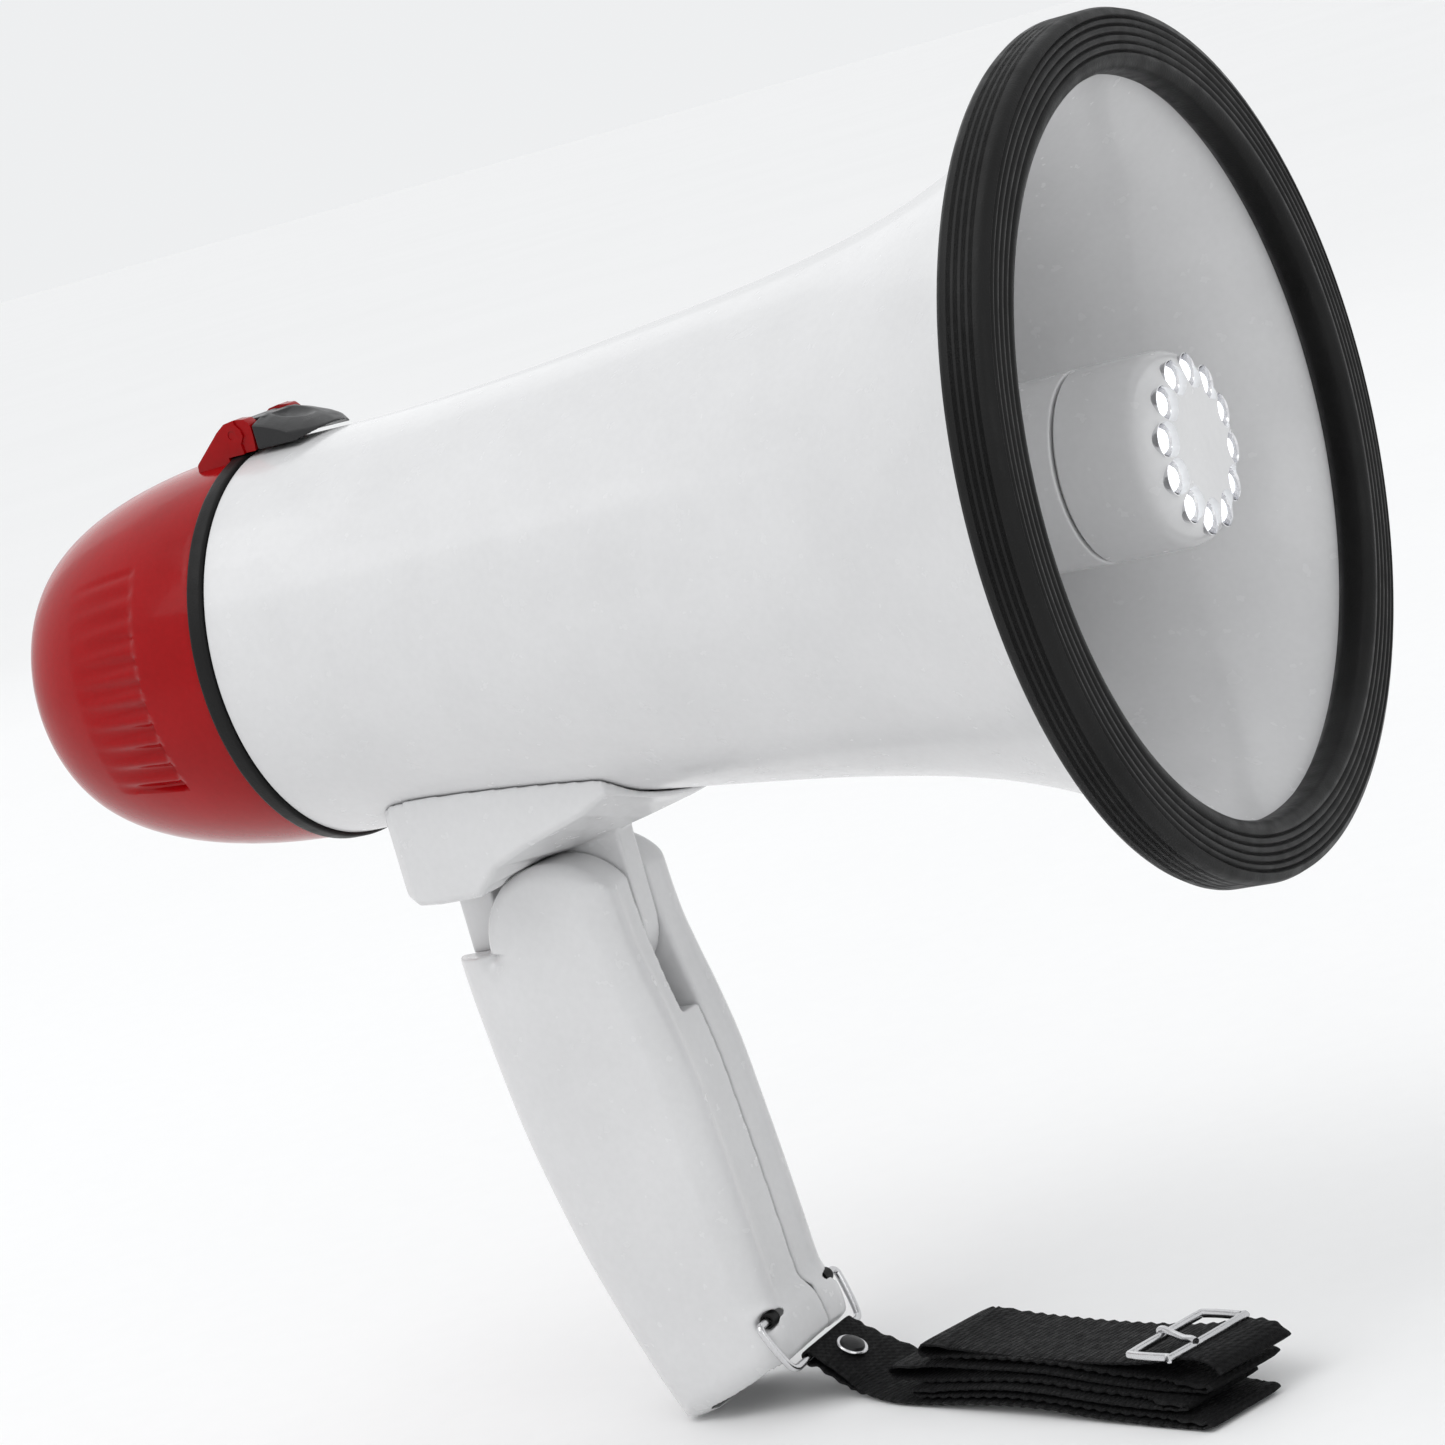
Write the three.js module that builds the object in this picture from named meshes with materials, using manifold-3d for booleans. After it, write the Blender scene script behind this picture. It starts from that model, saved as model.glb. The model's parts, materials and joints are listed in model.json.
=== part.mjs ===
// Handheld megaphone with a folding handle. Millimetres, +X towards the mouth, +Z up.
// Everything is placed from the centre of the horn's mouth; the last group moves the
// origin to the middle of the hand grip.
import * as THREE from 'three';
import { mergeVertices } from 'three/addons/utils/BufferGeometryUtils.js';
import Module from 'manifold-3d';

const wasm = await Module();
wasm.setup();

// ---- Driving dimensions -------------------------------------------------
const GAP = 0.3;                       // clearance between touching pieces
const GRIP_CENTRE = [-155, 0, -120];   // middle of the hand grip

const HORN = {
  outer: [[-198, 40.4], [-170, 40.4], [-140, 42], [-110, 44.7], [-80, 48],
    [-55, 52.2], [-36, 57.6], [-20, 64.7], [-9, 72.6], [-3.5, 77.4]],
  wall: 2.3,
  segments: 36,
};
const RIM = { outerR: 80, innerR: 68.4, depth: 10 };
const GASKET = { back: -202, r: 41.2, innerR: 38 };
const CAP = {
  front: -202.3, length: 54, frontR: 40.3, faceR: 22, power: 2, wall: 2.4, steps: 8,
  gripX: [-236, -217.5], gripDepth: 1.2, gripHalfZ: 23, gripZ: 4,
};
const SPIGOT = { r: 37.6, innerR: 35.6, front: -192 };
const MIC = { z: 8.5, r: 8 };
const KNOB = { z: -9.5, r: 7, length: 6.5 };
const LATCH = {
  x: -199.6, z: 44.3, pinR: 1.4, eyeR: 2.5, roomR: 4.6, earHalf: 10, tongueHalf: 6,
  ringR: 41.5, domeX: -197,
};
const BULB = { r: 18.1, front: -0.5, shoulder: 7, joint: -22, back: -78, wall: 1.8 };
const LEDS = { count: 12, ringR: 13.4, r: 2.3, x: -4 };
const THROAT = { back: -109, front: -34, backR: 6, frontR: 10, wall: 1.6 };
const DRIVER = { front: -109, housingBack: -120, magnetBack: -136, r: 30, magnetR: 25 };
const BOARD = { x: -140, r: 39.2, thick: 1.6 };
const TRAY = {
  back: -190.5, front: -143, r: 37.8, cellR: 13, cellOffset: 18.9, cellLength: 45,
  cellX: -168.3, pocketX: -168, pocketLength: 47.5,
};
// Sections of the saddle from the rear: x, half width, lowest z at the sides and in the middle.
const SADDLE = {
  topZ: -28,
  sections: [[-186.6, 10, -32, -32], [-185.6, 15, -40, -40], [-184.2, 19, -49, -49.4],
    [-182, 22.2, -52.4, -53], [-179, 24.2, -53.8, -54.3], [-174, 25, -54, -54.4],
    [-164, 25, -54, -54.2], [-162, 25, -52.2, -53.5], [-158, 25, -48.7, -52.8],
    [-150, 25, -45.8, -51.1], [-142.6, 25, -43.7, -49.5], [-136, 25, -41.8, -48.2],
    [-129, 25, -38.8, -46.6], [-127.6, 22.5, -39.6, -46.3], [-126.6, 15, -42.4, -46],
    [-124.5, 10.5, -43.6, -45.6], [-122.5, 7, -44, -45], [-120.6, 3, -44.1, -44.4]],
};
const PIVOT = { x: -156.5, z: -68, cheekR: 16.2, pinR: 3 };
const TONGUE = { half: 3, frontX: -142.7, backX: -174.2, stopX: -173.3, tipR: 13.6 };
const HANDLE = {
  half: 15, top: -50, bottom: -169.5, wall: 2.2, split: 3.2, edge: 3,
  slotZ: -88, shelfZ: -68, toeZ: [-146, -151], hollowTop: -90,
};
const LOOP = {
  x: -134.7, z: -150.2, wireR: 0.8, holeR: 1.85, sleeveR: 1.55, halfHole: 16.5,
  sleeveY: 11.7, sleeveLength: 2.8,
  halfBar: 12.8, barX: -130.8, barZ: -160.3,
};
const TALK = {
  halfWidth: 6.2, low: -47.4, high: -41.1,
  roomX: [-190, -166], roomHalf: 6.6, roomZ: [-47.8, -40.7],
};
const MODE = {
  bodyX: [-171, -165], roomX: [-176, -160],
  y: 21.8, low: -43.9, high: -40.1, roomZ: [-44.5, -39.5],
};
const STRAP = {
  width: 19, floorZ: -169.4,
  lead: { turn: -24, at: [-124.2, 0.5] },
  bundle: { turn: -20.8, at: [-112.6, 0.9], spread: 3.5 },
};
const SCREW = {
  places: [[-171, -98], [-158, -150]], bossR: 4, holeR: 1.5, shankR: 1.2, shankLength: 15.3, shankY: 3.9,
  headR: 2.8, headRoomR: 3.2, headY: 12.4, headLength: 2, recessY: [12.7, 15], arm: 1.8, blade: 0.35,
};
const BUCKLE = { length: 21, depth: 12, bar: 1.6, at: [78, 2, 9.9] };

// ---- Helpers --------------------------------------------------------------
// Merge equal corners, drop slivers and turn the faces outwards.
function closed(geometry, tolerance = 1e-4) {
  const bare = geometry.clone();
  bare.deleteAttribute('normal');
  bare.deleteAttribute('uv');
  const merged = mergeVertices(bare, tolerance);
  const index = merged.getIndex().array;
  const kept = [];
  for (let i = 0; i < index.length; i += 3) {
    const [a, b, c] = [index[i], index[i + 1], index[i + 2]];
    if (a !== b && b !== c && a !== c) kept.push(a, b, c);
  }
  merged.setIndex(kept);
  if (signedVolume(merged) < 0) {
    for (let i = 0; i < kept.length; i += 3) {
      [kept[i], kept[i + 1]] = [kept[i + 1], kept[i]];
    }
    merged.setIndex(kept);
  }
  return merged;
}

function signedVolume(geometry) {
  const p = geometry.getAttribute('position');
  const index = geometry.getIndex().array;
  const [a, b, c] = [new THREE.Vector3(), new THREE.Vector3(), new THREE.Vector3()];
  let volume = 0;
  for (let i = 0; i < index.length; i += 3) {
    a.fromBufferAttribute(p, index[i]);
    b.fromBufferAttribute(p, index[i + 1]);
    c.fromBufferAttribute(p, index[i + 2]);
    volume += a.dot(b.cross(c));
  }
  return volume / 6;
}

function toManifold(geometry) {
  const g = closed(geometry);
  return new wasm.Manifold(new wasm.Mesh({
    numProp: 3,
    vertProperties: new Float32Array(g.getAttribute('position').array),
    triVerts: new Uint32Array(g.getIndex().array),
  }));
}

function fromManifold(solid) {
  const mesh = solid.getMesh();
  const g = new THREE.BufferGeometry();
  g.setAttribute('position', new THREE.BufferAttribute(new Float32Array(mesh.vertProperties), 3));
  g.setIndex(Array.from(mesh.triVerts));
  return g;
}

function cut(body, ...tools) {
  return fromManifold(tools.reduce((s, t) => s.subtract(toManifold(t)), toManifold(body)));
}

function join(body, ...others) {
  return fromManifold(others.reduce((s, t) => s.add(toManifold(t)), toManifold(body)));
}

function common(body, other) {
  return fromManifold(toManifold(body).intersect(toManifold(other)));
}

// A solid of revolution about X from a closed or axis-to-axis (x, r) outline.
function turned(outline, segments = 32) {
  const points = outline.map(([x, r]) => new THREE.Vector2(Math.max(r, 0), x));
  const first = points[0];
  if (first.x > 0) points.push(first.clone());
  return closed(new THREE.LatheGeometry(points, segments).rotateZ(-Math.PI / 2));
}

// A rod along X, Y or Z, centred on a point.
function rod(axis, r, length, [x, y, z], segments = 20) {
  const g = new THREE.CylinderGeometry(r, r, length, segments);
  if (axis === 'x') g.rotateZ(-Math.PI / 2);
  if (axis === 'z') g.rotateX(Math.PI / 2);
  return closed(g.translate(x, y, z));
}

function ring(axis, r, innerR, length, centre, segments = 24) {
  return cut(rod(axis, r, length, centre, segments), rod(axis, innerR, length + 2, centre, segments));
}

function block([x0, y0, z0], [x1, y1, z1]) {
  const g = new THREE.BoxGeometry(x1 - x0, y1 - y0, z1 - z0);
  return closed(g.translate((x0 + x1) / 2, (y0 + y1) / 2, (z0 + z1) / 2));
}

// A side outline in X and Z, extruded across Y from y0 to y1, with an optional bevel.
function slab(shape, y0, y1, bevel = 0) {
  const g = new THREE.ExtrudeGeometry(shape, {
    depth: y1 - y0 - 2 * bevel,
    bevelEnabled: bevel > 0,
    bevelThickness: bevel,
    bevelSize: bevel,
    bevelOffset: -bevel,
    bevelSegments: 2,
    curveSegments: 10,
  });
  g.rotateX(Math.PI / 2);
  return closed(g.translate(0, y1 - bevel, 0));
}

function outline(points) {
  return new THREE.Shape(points.map(([x, z]) => new THREE.Vector2(x, z)));
}

function spline(points, count) {
  const curve = new THREE.SplineCurve(points.map(([x, r]) => new THREE.Vector2(x, r)));
  return curve.getPoints(count).map((p) => [p.x, p.y]);
}

// The outline moved by a distance along its own normal, towards the axis when positive.
function inset(points, distance) {
  return points.map(([x, r], i) => {
    const [x0, r0] = points[Math.max(i - 1, 0)];
    const [x1, r1] = points[Math.min(i + 1, points.length - 1)];
    const length = Math.hypot(x1 - x0, r1 - r0);
    return [x + (distance * (r1 - r0)) / length, r - (distance * (x1 - x0)) / length];
  });
}

// Rings of equal size joined into a closed loft with flat ends.
function loft(rings) {
  const n = rings[0].length;
  const positions = rings.flat(2);
  const index = [];
  for (let k = 0; k + 1 < rings.length; k += 1) {
    for (let i = 0; i < n; i += 1) {
      const [a, b] = [k * n + i, k * n + ((i + 1) % n)];
      index.push(a, b, a + n, b, b + n, a + n);
    }
  }
  for (const [k, flip] of [[0, true], [rings.length - 1, false]]) {
    for (let i = 1; i + 1 < n; i += 1) {
      const tri = [k * n, k * n + i, k * n + i + 1];
      index.push(...(flip ? tri.reverse() : tri));
    }
  }
  const g = new THREE.BufferGeometry();
  g.setAttribute('position', new THREE.Float32BufferAttribute(positions, 3));
  g.setIndex(index);
  return closed(g);
}

const FINISH = {
  shell: [0xdcdcde, 0.25, 0],
  rubber: [0x161616, 0.6, 0],
  red: [0x9c0f16, 0.2, 0],
  black: [0x1c1c1e, 0.4, 0],
  steel: [0xb8b8bc, 0.3, 1],
  web: [0x101010, 0.9, 0],
  led: [0xf4f8ff, 0.1, 0],
  board: [0x1f6b3a, 0.5, 0],
  cell: [0x8a6a2c, 0.4, 0.6],
  magnet: [0x3a3a3d, 0.6, 0.4],
};

const model = new THREE.Group();

function add(name, geometry, finish) {
  const [color, roughness, metalness] = FINISH[finish];
  const material = new THREE.MeshStandardMaterial({ color, roughness, metalness });
  const mesh = new THREE.Mesh(geometry, material);
  mesh.name = name;
  model.add(mesh);
}

// ---- Horn ---------------------------------------------------------------
const hornOuter = spline(HORN.outer, 14);

// The horn's wall, or with grow the room it takes with a clearance all round its front edge.
function hornSolid(wall, grow = 0) {
  const outside = inset(hornOuter, -grow);
  const inside = inset(hornOuter, wall + grow);
  if (grow > 0) {
    const [[x0, r0], [x1, r1]] = hornOuter.slice(-2);
    const step = grow / Math.hypot(x1 - x0, r1 - r0);
    const ahead = ([x, r]) => [x + (x1 - x0) * step, r + (r1 - r0) * step];
    outside.push(ahead(outside.at(-1)));
    inside.push(ahead(inside.at(-1)));
  }
  return turned([...outside, ...inside.reverse()], HORN.segments);
}

// The horn's outside as a filled body, for cutting what sits against it.
function hornCore() {
  const outside = inset(hornOuter, -GAP);
  return turned([[-198, 0], ...outside, [-3.5, 0]], HORN.segments);
}

function buildHorn() {
  add('horn_shell', hornSolid(HORN.wall), 'shell');
  const rim = turned([[-RIM.depth, 72.6], [-RIM.depth, 78.2], [-8.4, RIM.outerR], [-1.6, RIM.outerR],
    [0, 78.4], [0, 69.8], [-1.4, RIM.innerR], [-4.5, RIM.innerR], [-7, 70]], HORN.segments);
  add('rim_bumper', cut(rim, hornSolid(HORN.wall, GAP)), 'rubber');
  add('gasket', turned([[GASKET.back, GASKET.innerR], [GASKET.back, GASKET.r],
    [-198.3, GASKET.r], [-198.3, GASKET.innerR]], HORN.segments), 'rubber');
  add('bulkhead', turned([[-104, 13], [-104, 42.2], [-106.5, 42], [-109, 30],
    [-109, 13]], HORN.segments), 'shell');
}

function buildReflector() {
  const { r, joint, back, wall } = BULB;
  add('tone_reflector', turned([[joint - GAP, r - 4], [joint - GAP, r], [back + 8, r - 1.4],
    [back, r - 0.6], [back, r - 2.2], [back + 8, r - 1.4 - wall], [joint - 3, r - wall],
    [joint - 3, r - 4]], 36), 'shell');
  add('throat_tube', turned([[THROAT.back, THROAT.backR], [THROAT.front, THROAT.frontR],
    [THROAT.front, THROAT.frontR + THROAT.wall], [-103, THROAT.backR + 2.4],
    [-103, 12.6], [THROAT.back, 12.6]], 28), 'shell');
  const vanes = [0, 1, 2].map((k) => {
    const vane = block([-72, -0.8, 9.5], [-50, 0.8, 14.6]);
    return vane.rotateX((k * 2 * Math.PI) / 3);
  });
  const hub = turned([[-72, 9.6], [-50, 10.9], [-50, 12], [-72, 12]], 28);
  const tubeCore = turned([[-112, 0], [-112, THROAT.backR], [THROAT.back, THROAT.backR + 2.4],
    [-103, THROAT.backR + 2.7], [THROAT.front, THROAT.frontR + THROAT.wall + GAP],
    [THROAT.front, 0]], 28);
  add('reflector_spider', cut(join(hub, ...vanes), tubeCore), 'shell');
}

function ledPlace(k) {
  const angle = ((k + 0.5) * 2 * Math.PI) / LEDS.count;
  return [Math.cos(angle) * LEDS.ringR, Math.sin(angle) * LEDS.ringR];
}

function buildLight() {
  const { r, front, shoulder, joint, wall } = BULB;
  const outside = [[joint + GAP, r]];
  const inside = [[joint + GAP, r - 3.6], [joint + 4, r - 3.6], [joint + 4.4, r - wall]];
  for (let k = 0; k <= 4; k += 1) {
    const angle = (k * Math.PI) / 8;
    outside.push([front - shoulder + shoulder * Math.sin(angle), r - shoulder * (1 - Math.cos(angle))]);
    inside.push([front - shoulder + (shoulder - wall) * Math.sin(angle),
      r - wall - (shoulder - wall) * (1 - Math.cos(angle))]);
  }
  const shell = turned([...outside, [front, 0], [front - wall, 0], ...inside.reverse(),
    [joint + GAP, r]], 32);
  const holes = [];
  for (let k = 0; k < LEDS.count; k += 1) {
    const [y, z] = ledPlace(k);
    holes.push(rod('x', LEDS.r + GAP, 14, [-2, y, z], 10));
  }
  add('light_head', cut(shell, ...holes), 'shell');
  add('led_board', turned([[-10.5, 0], [-10.5, 15.8], [-8.9, 15.8], [-8.9, 0]], 28), 'board');
  for (let k = 0; k < LEDS.count; k += 1) {
    const [y, z] = ledPlace(k);
    const lens = turned([[-8.6, 0], [-8.6, LEDS.r], [LEDS.x, LEDS.r], [LEDS.x + 1.4, 2.1],
      [LEDS.x + 2.2, 1.2], [LEDS.x + 2.5, 0]], 10);
    add(`led_${k + 1}`, lens.translate(0, y, z), 'led');
  }
}

// ---- Barrel insides -----------------------------------------------------
function buildDriver() {
  const { front, housingBack, magnetBack, r, magnetR } = DRIVER;
  const housing = turned([[front - GAP, 6], [front - GAP, r], [housingBack, r],
    [housingBack, r - 2], [front - 2.5, r - 4], [front - 2.5, 6]], 32);
  add('driver_housing', housing, 'black');
  const dome = [[-116.4, 0], [-117.6, 7], [-119.4, 12], [-119.4, 24], [-120.4, 24],
    [-120.4, 12], [-118.6, 6.6], [-117.6, 0]];
  add('driver_diaphragm', turned(dome, 28), 'cell');
  add('driver_magnet', turned([[-121, 0], [-121, magnetR], [magnetBack, magnetR],
    [magnetBack, 0]], 32), 'magnet');
}

function cellPlaces() {
  return [[1, 1], [-1, 1], [-1, -1], [1, -1]].map(([y, z]) => [
    (y * TRAY.cellOffset) / Math.SQRT2, (z * TRAY.cellOffset) / Math.SQRT2]);
}

function buildPower() {
  add('circuit_board', turned([[BOARD.x, 0], [BOARD.x, BOARD.r],
    [BOARD.x + BOARD.thick, BOARD.r], [BOARD.x + BOARD.thick, 0]], 32), 'board');
  const { back, front, r, cellR, cellLength, cellX, pocketX, pocketLength } = TRAY;
  const tray = turned([[back + 3, 0], [back + 3, r], [front, r], [front, 0]], 32);
  const pockets = cellPlaces().map(([y, z]) => rod('x', cellR + GAP, pocketLength, [pocketX, y, z], 24));
  add('battery_tray', cut(tray, ...pockets), 'black');
  cellPlaces().forEach(([y, z], k) => {
    const up = k % 2 === 0 ? 1 : -1;
    const half = cellLength / 2;
    const can = turned([[-half, 0], [-half, cellR], [half - 1.5, cellR], [half - 1.5, 3],
      [half, 3], [half, 0]], 20);
    if (up < 0) can.rotateY(Math.PI);
    add(`battery_${k + 1}`, can.translate(cellX, y, z), 'cell');
  });
}

// ---- Rear cap -----------------------------------------------------------
function capOutline(frontR, faceR, length) {
  const points = [];
  for (let k = 0; k <= CAP.steps; k += 1) {
    const angle = (k * Math.PI) / (2 * CAP.steps);
    points.push([CAP.front - length * Math.sin(angle) ** (2 / CAP.power),
      faceR + (frontR - faceR) * Math.cos(angle) ** (2 / CAP.power)]);
  }
  return points;
}

function capBody() {
  const outside = capOutline(CAP.frontR, CAP.faceR, CAP.length);
  const inside = capOutline(CAP.frontR - CAP.wall, CAP.faceR - 1, CAP.length - CAP.wall);
  const back = CAP.front - CAP.length;
  return turned([...outside, [back, 0], [back + CAP.wall, 0], ...inside.reverse(),
    outside[0]], HORN.segments);
}

function gripCut() {
  const outside = capOutline(CAP.frontR - CAP.gripDepth, CAP.faceR, CAP.length);
  const sleeve = turned([...outside, [CAP.front - CAP.length, 60], [CAP.front, 60]], HORN.segments);
  const [x0, x1] = CAP.gripX;
  const window = block([x0, -50, CAP.gripZ - CAP.gripHalfZ], [x1, 50, CAP.gripZ + CAP.gripHalfZ]);
  return common(sleeve, window);
}

// The two ears that hold the latch pin, with room between them for the lever's eye.
function earPair() {
  const side = outline([[-210.8, 36.5], [-210.4, 40.3], [-203.6, 45.7], [-201.4, 47], [-199, 47.3],
    [-196.8, 47], [-195.7, 45.9], [-195.5, 44.3], [-195.6, 42.6], [-196.2, 38], [-202.4, 36.5]]);
  const { x, z, earHalf, pinR, roomR, ringR } = LATCH;
  const roomHalf = LATCH.tongueHalf + 0.4;
  const knuckle = rod('y', roomR, 2 * roomHalf, [x, 0, z], 20);
  const tongueRoom = block([x, -roomHalf, 38], [-190, roomHalf, 50]);
  const barrelRoom = rod('x', ringR, 20, [CAP.front + 9.9, 0, 0], HORN.segments);
  return cut(slab(side, -earHalf, earHalf, 0.5), knuckle, tongueRoom, barrelRoom,
    rod('y', pinR + 0.05, 24, [x, 0, z], 16));
}

function buildCap() {
  const back = CAP.front - CAP.length;
  const spigot = turned([[CAP.front - 6, SPIGOT.innerR], [SPIGOT.front, SPIGOT.innerR],
    [SPIGOT.front, SPIGOT.r], [CAP.front - 1, SPIGOT.r],
    [CAP.front - 1, SPIGOT.r + 1.4], [CAP.front - 6, SPIGOT.r + 1.4]], HORN.segments);
  const holes = [rod('x', MIC.r - 1.8, 10, [back, 0, MIC.z]), rod('x', 2.6, 10, [back, 0, KNOB.z])];
  add('rear_cap', cut(join(cut(capBody(), gripCut()), spigot, earPair()), ...holes), 'red');
  const grille = rod('x', MIC.r, 1.4, [back - 1, 0, MIC.z], 24);
  const slots = [-4, -2, 0, 2, 4].map((y) => {
    const half = Math.sqrt(6 * 6 - y * y) - 1;
    return block([back - 3, y - 0.5, MIC.z - half], [back + 1, y + 0.5, MIC.z + half]);
  });
  add('mic_grille', cut(grille, ...slots), 'black');
  add('microphone', rod('x', 5, 6, [back + 5.8, 0, MIC.z], 20), 'magnet');
  const wheel = turned([[back - GAP, 0], [back - GAP, KNOB.r], [back - KNOB.length + 1, KNOB.r - 0.6],
    [back - KNOB.length, KNOB.r - 1.6], [back - KNOB.length, 0]], 24).translate(0, 0, KNOB.z);
  const stem = rod('x', 2.2, 8, [back + 3, 0, KNOB.z], 16);
  const pointer = block([back - KNOB.length - 1, -0.6, KNOB.z + 2], [back - KNOB.length + 0.6, 0.6,
    KNOB.z + KNOB.r]);
  add('volume_knob', cut(join(wheel, stem), pointer), 'black');
  add('contact_plate', turned([[-192.3, 0], [-192.3, 35.3], [-193.2, 35.3], [-193.2, 0]], 28), 'steel');
}

function buildLatch() {
  const { x, z, earHalf, pinR, eyeR, tongueHalf, domeX } = LATCH;
  const half = earHalf - 0.2;
  add('latch_pin', rod('y', pinR, 2 * half, [x, 0, z], 16), 'steel');
  const side = outline([[-195, 38.6], [-180.6, 38.6], [-180.2, 40.6], [-182.5, 42.4], [-185.5, 44.2],
    [-188.8, 45.7], [-192.5, 46.7], [-195, 47.1]]);
  const dome = turned([[48, 0], [48, 10], [46, 11.5], [43.6, 13], [41.2, 14.5],
    [39.6, 15.6], [38, 16.2], [36, 16.2], [36, 0]], 40).rotateY(-Math.PI / 2).translate(domeX, 0, 0);
  const dish = new THREE.SphereGeometry(14, 20, 12).translate(-188.5, 0, 58.8);
  const paddle = cut(common(slab(side, -half, half, 0.5), dome), dish);
  const eye = join(rod('y', eyeR, 2 * tongueHalf, [x, 0, z], 20),
    block([x, -tongueHalf, z - eyeR], [-194, tongueHalf, z + 2.3]));
  const barrelRoom = rod('x', LATCH.ringR, 60, [CAP.front, 0, 0], HORN.segments);
  add('latch_lever', cut(join(paddle, eye), rod('y', pinR + 0.06, 30, [x, 0, z], 16), barrelRoom,
    hornCore()), 'black');
}

// ---- Saddle, switches and tongue ------------------------------------------
function saddleBody() {
  const { topZ, sections } = SADDLE;
  return loft(sections.map(([x, half, side, middle]) => {
    const near = [[half, topZ], [half, side + 1], [half - 1, side], [2.5, middle]];
    const far = near.map(([y, z]) => [-y, z]).reverse();
    return [...near, ...far].map(([y, z]) => [x, y, z]);
  }));
}

// The tongue's side view: straight above, round about the pivot below.
function tongueShape() {
  const { frontX, backX, tipR } = TONGUE;
  const s = new THREE.Shape();
  s.moveTo(backX, -50);
  s.lineTo(backX, PIVOT.z);
  s.lineTo(backX + 3, -72.5);
  s.absarc(PIVOT.x, PIVOT.z, tipR, -2.5, 0, false);
  s.lineTo(frontX, -40);
  return s;
}

function buildSaddle() {
  const { half, stopX } = TONGUE;
  const cheekRooms = [-1, 1].map((side) => rod('y', PIVOT.cheekR + GAP, 12.2,
    [PIVOT.x, side * 9.2, PIVOT.z], 40));
  const body = cut(saddleBody(), ...cheekRooms);
  const stop = block([-181.5, -7, -68.5], [stopX, 7, -50]);
  const talkRoom = block([TALK.roomX[0], -TALK.roomHalf, TALK.roomZ[0]],
    [TALK.roomX[1], TALK.roomHalf, TALK.roomZ[1]]);
  const modeRoom = block([MODE.roomX[0], MODE.y - GAP, MODE.roomZ[0]], [MODE.roomX[1], 30, MODE.roomZ[1]]);
  add('saddle', cut(join(body, slab(tongueShape(), -half, half), stop), hornCore(), talkRoom, modeRoom,
    rod('y', PIVOT.pinR + 0.06, 20, [PIVOT.x, 0, PIVOT.z])), 'shell');
  const { halfWidth, low, high } = TALK;
  add('talk_button', join(block([-188, -halfWidth, low], [-176.4, halfWidth, high]),
    block([-193.4, -halfWidth, low], [-187.7, halfWidth, high + 0.2])), 'red');
  add('talk_switch', join(block([-172.9, -6, low], [-166.4, 6, high - 0.2]),
    block([-173.6, -1.2, -45.6], [-172.5, 1.2, -43.2])), 'black');
  add('mode_switch', join(block([MODE.bodyX[0], MODE.y, MODE.low], [MODE.bodyX[1], 24.6, MODE.high]),
    block([-169.5, 24.2, -43], [-166.5, 26.6, -41])), 'black');
}

// ---- Handle ---------------------------------------------------------------
// Back and front of the handle at a height, on its middle plane.
const HANDLE_SIDE = new THREE.SplineCurve([[-185.5, -66], [-185, -80], [-182.6, -105], [-177.8, -128],
  [-172.6, -145], [-167.5, -159], [-162.5, -169.5]].map(([x, z]) => new THREE.Vector2(x, z)));
const HANDLE_FRONT = new THREE.SplineCurve([[-142.6, -50], [-142.6, -60], [-142, -70], [-140.6, -78],
  [-138.7, -87], [-136.9, -98], [-135.9, -110], [-135.1, -121], [-134.4, -133], [-133.9, -143],
  [-133.5, -147], [-132, -151], [-131.2, -155.5], [-131.4, -162], [-132, -169.5]]
  .map(([x, z]) => new THREE.Vector2(x, z)));

// How far behind the front the section is at each width, beside the strip and at the toe.
const STRIP_EDGE = [[0, 3], [0.1, 7.8], [0.4, 9.8], [2.2, 13], [5.5, 14.7], [9, 15]];
const TOE_EDGE = [[0, 3], [0.1, 7.8], [0.3, 10.5], [0.8, 12.8], [2.4, 14.5], [5, 15]];

function across(curve, z) {
  let [low, high] = [0, 1];
  for (let k = 0; k < 24; k += 1) {
    const mid = (low + high) / 2;
    if (curve.getPoint(mid).y > z) low = mid;
    else high = mid;
  }
  return curve.getPoint((low + high) / 2).x;
}

function handleBody(shrink) {
  const rings = [];
  const heights = 16;
  for (let k = 0; k <= heights; k += 1) {
    const z = HANDLE.top + (k * (HANDLE.bottom + shrink - HANDLE.top)) / heights;
    const back = across(HANDLE_SIDE, z) + shrink;
    const front = across(HANDLE_FRONT, z) - shrink;
    rings.push(handleSection(back, front, HANDLE.half - shrink, z));
  }
  return loft(rings);
}

// A level section: a flat front with soft edges, flat sides and a rounder back.
function handleSection(back, front, half, z) {
  const depth = front - back;
  const [high, low] = HANDLE.toeZ;
  const toe = Math.min(Math.max((high - z) / (high - low), 0), 1);
  const scale = half / HANDLE.half;
  const edge = STRIP_EDGE.map(([inward, y], i) => [
    front - THREE.MathUtils.lerp(inward, TOE_EDGE[i][0], toe),
    scale * THREE.MathUtils.lerp(y, TOE_EDGE[i][1], toe)]);
  const side = [...edge, [back + 0.34 * depth, half], [back + 0.2 * depth, 0.95 * half],
    [back + 0.1 * depth, 0.8 * half], [back + 0.04 * depth, 0.58 * half], [back, 0.22 * half]];
  const other = side.map(([x, y]) => [x, -y]).reverse();
  return [...side, ...other].map(([x, y]) => [x, y, z]);
}

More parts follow.
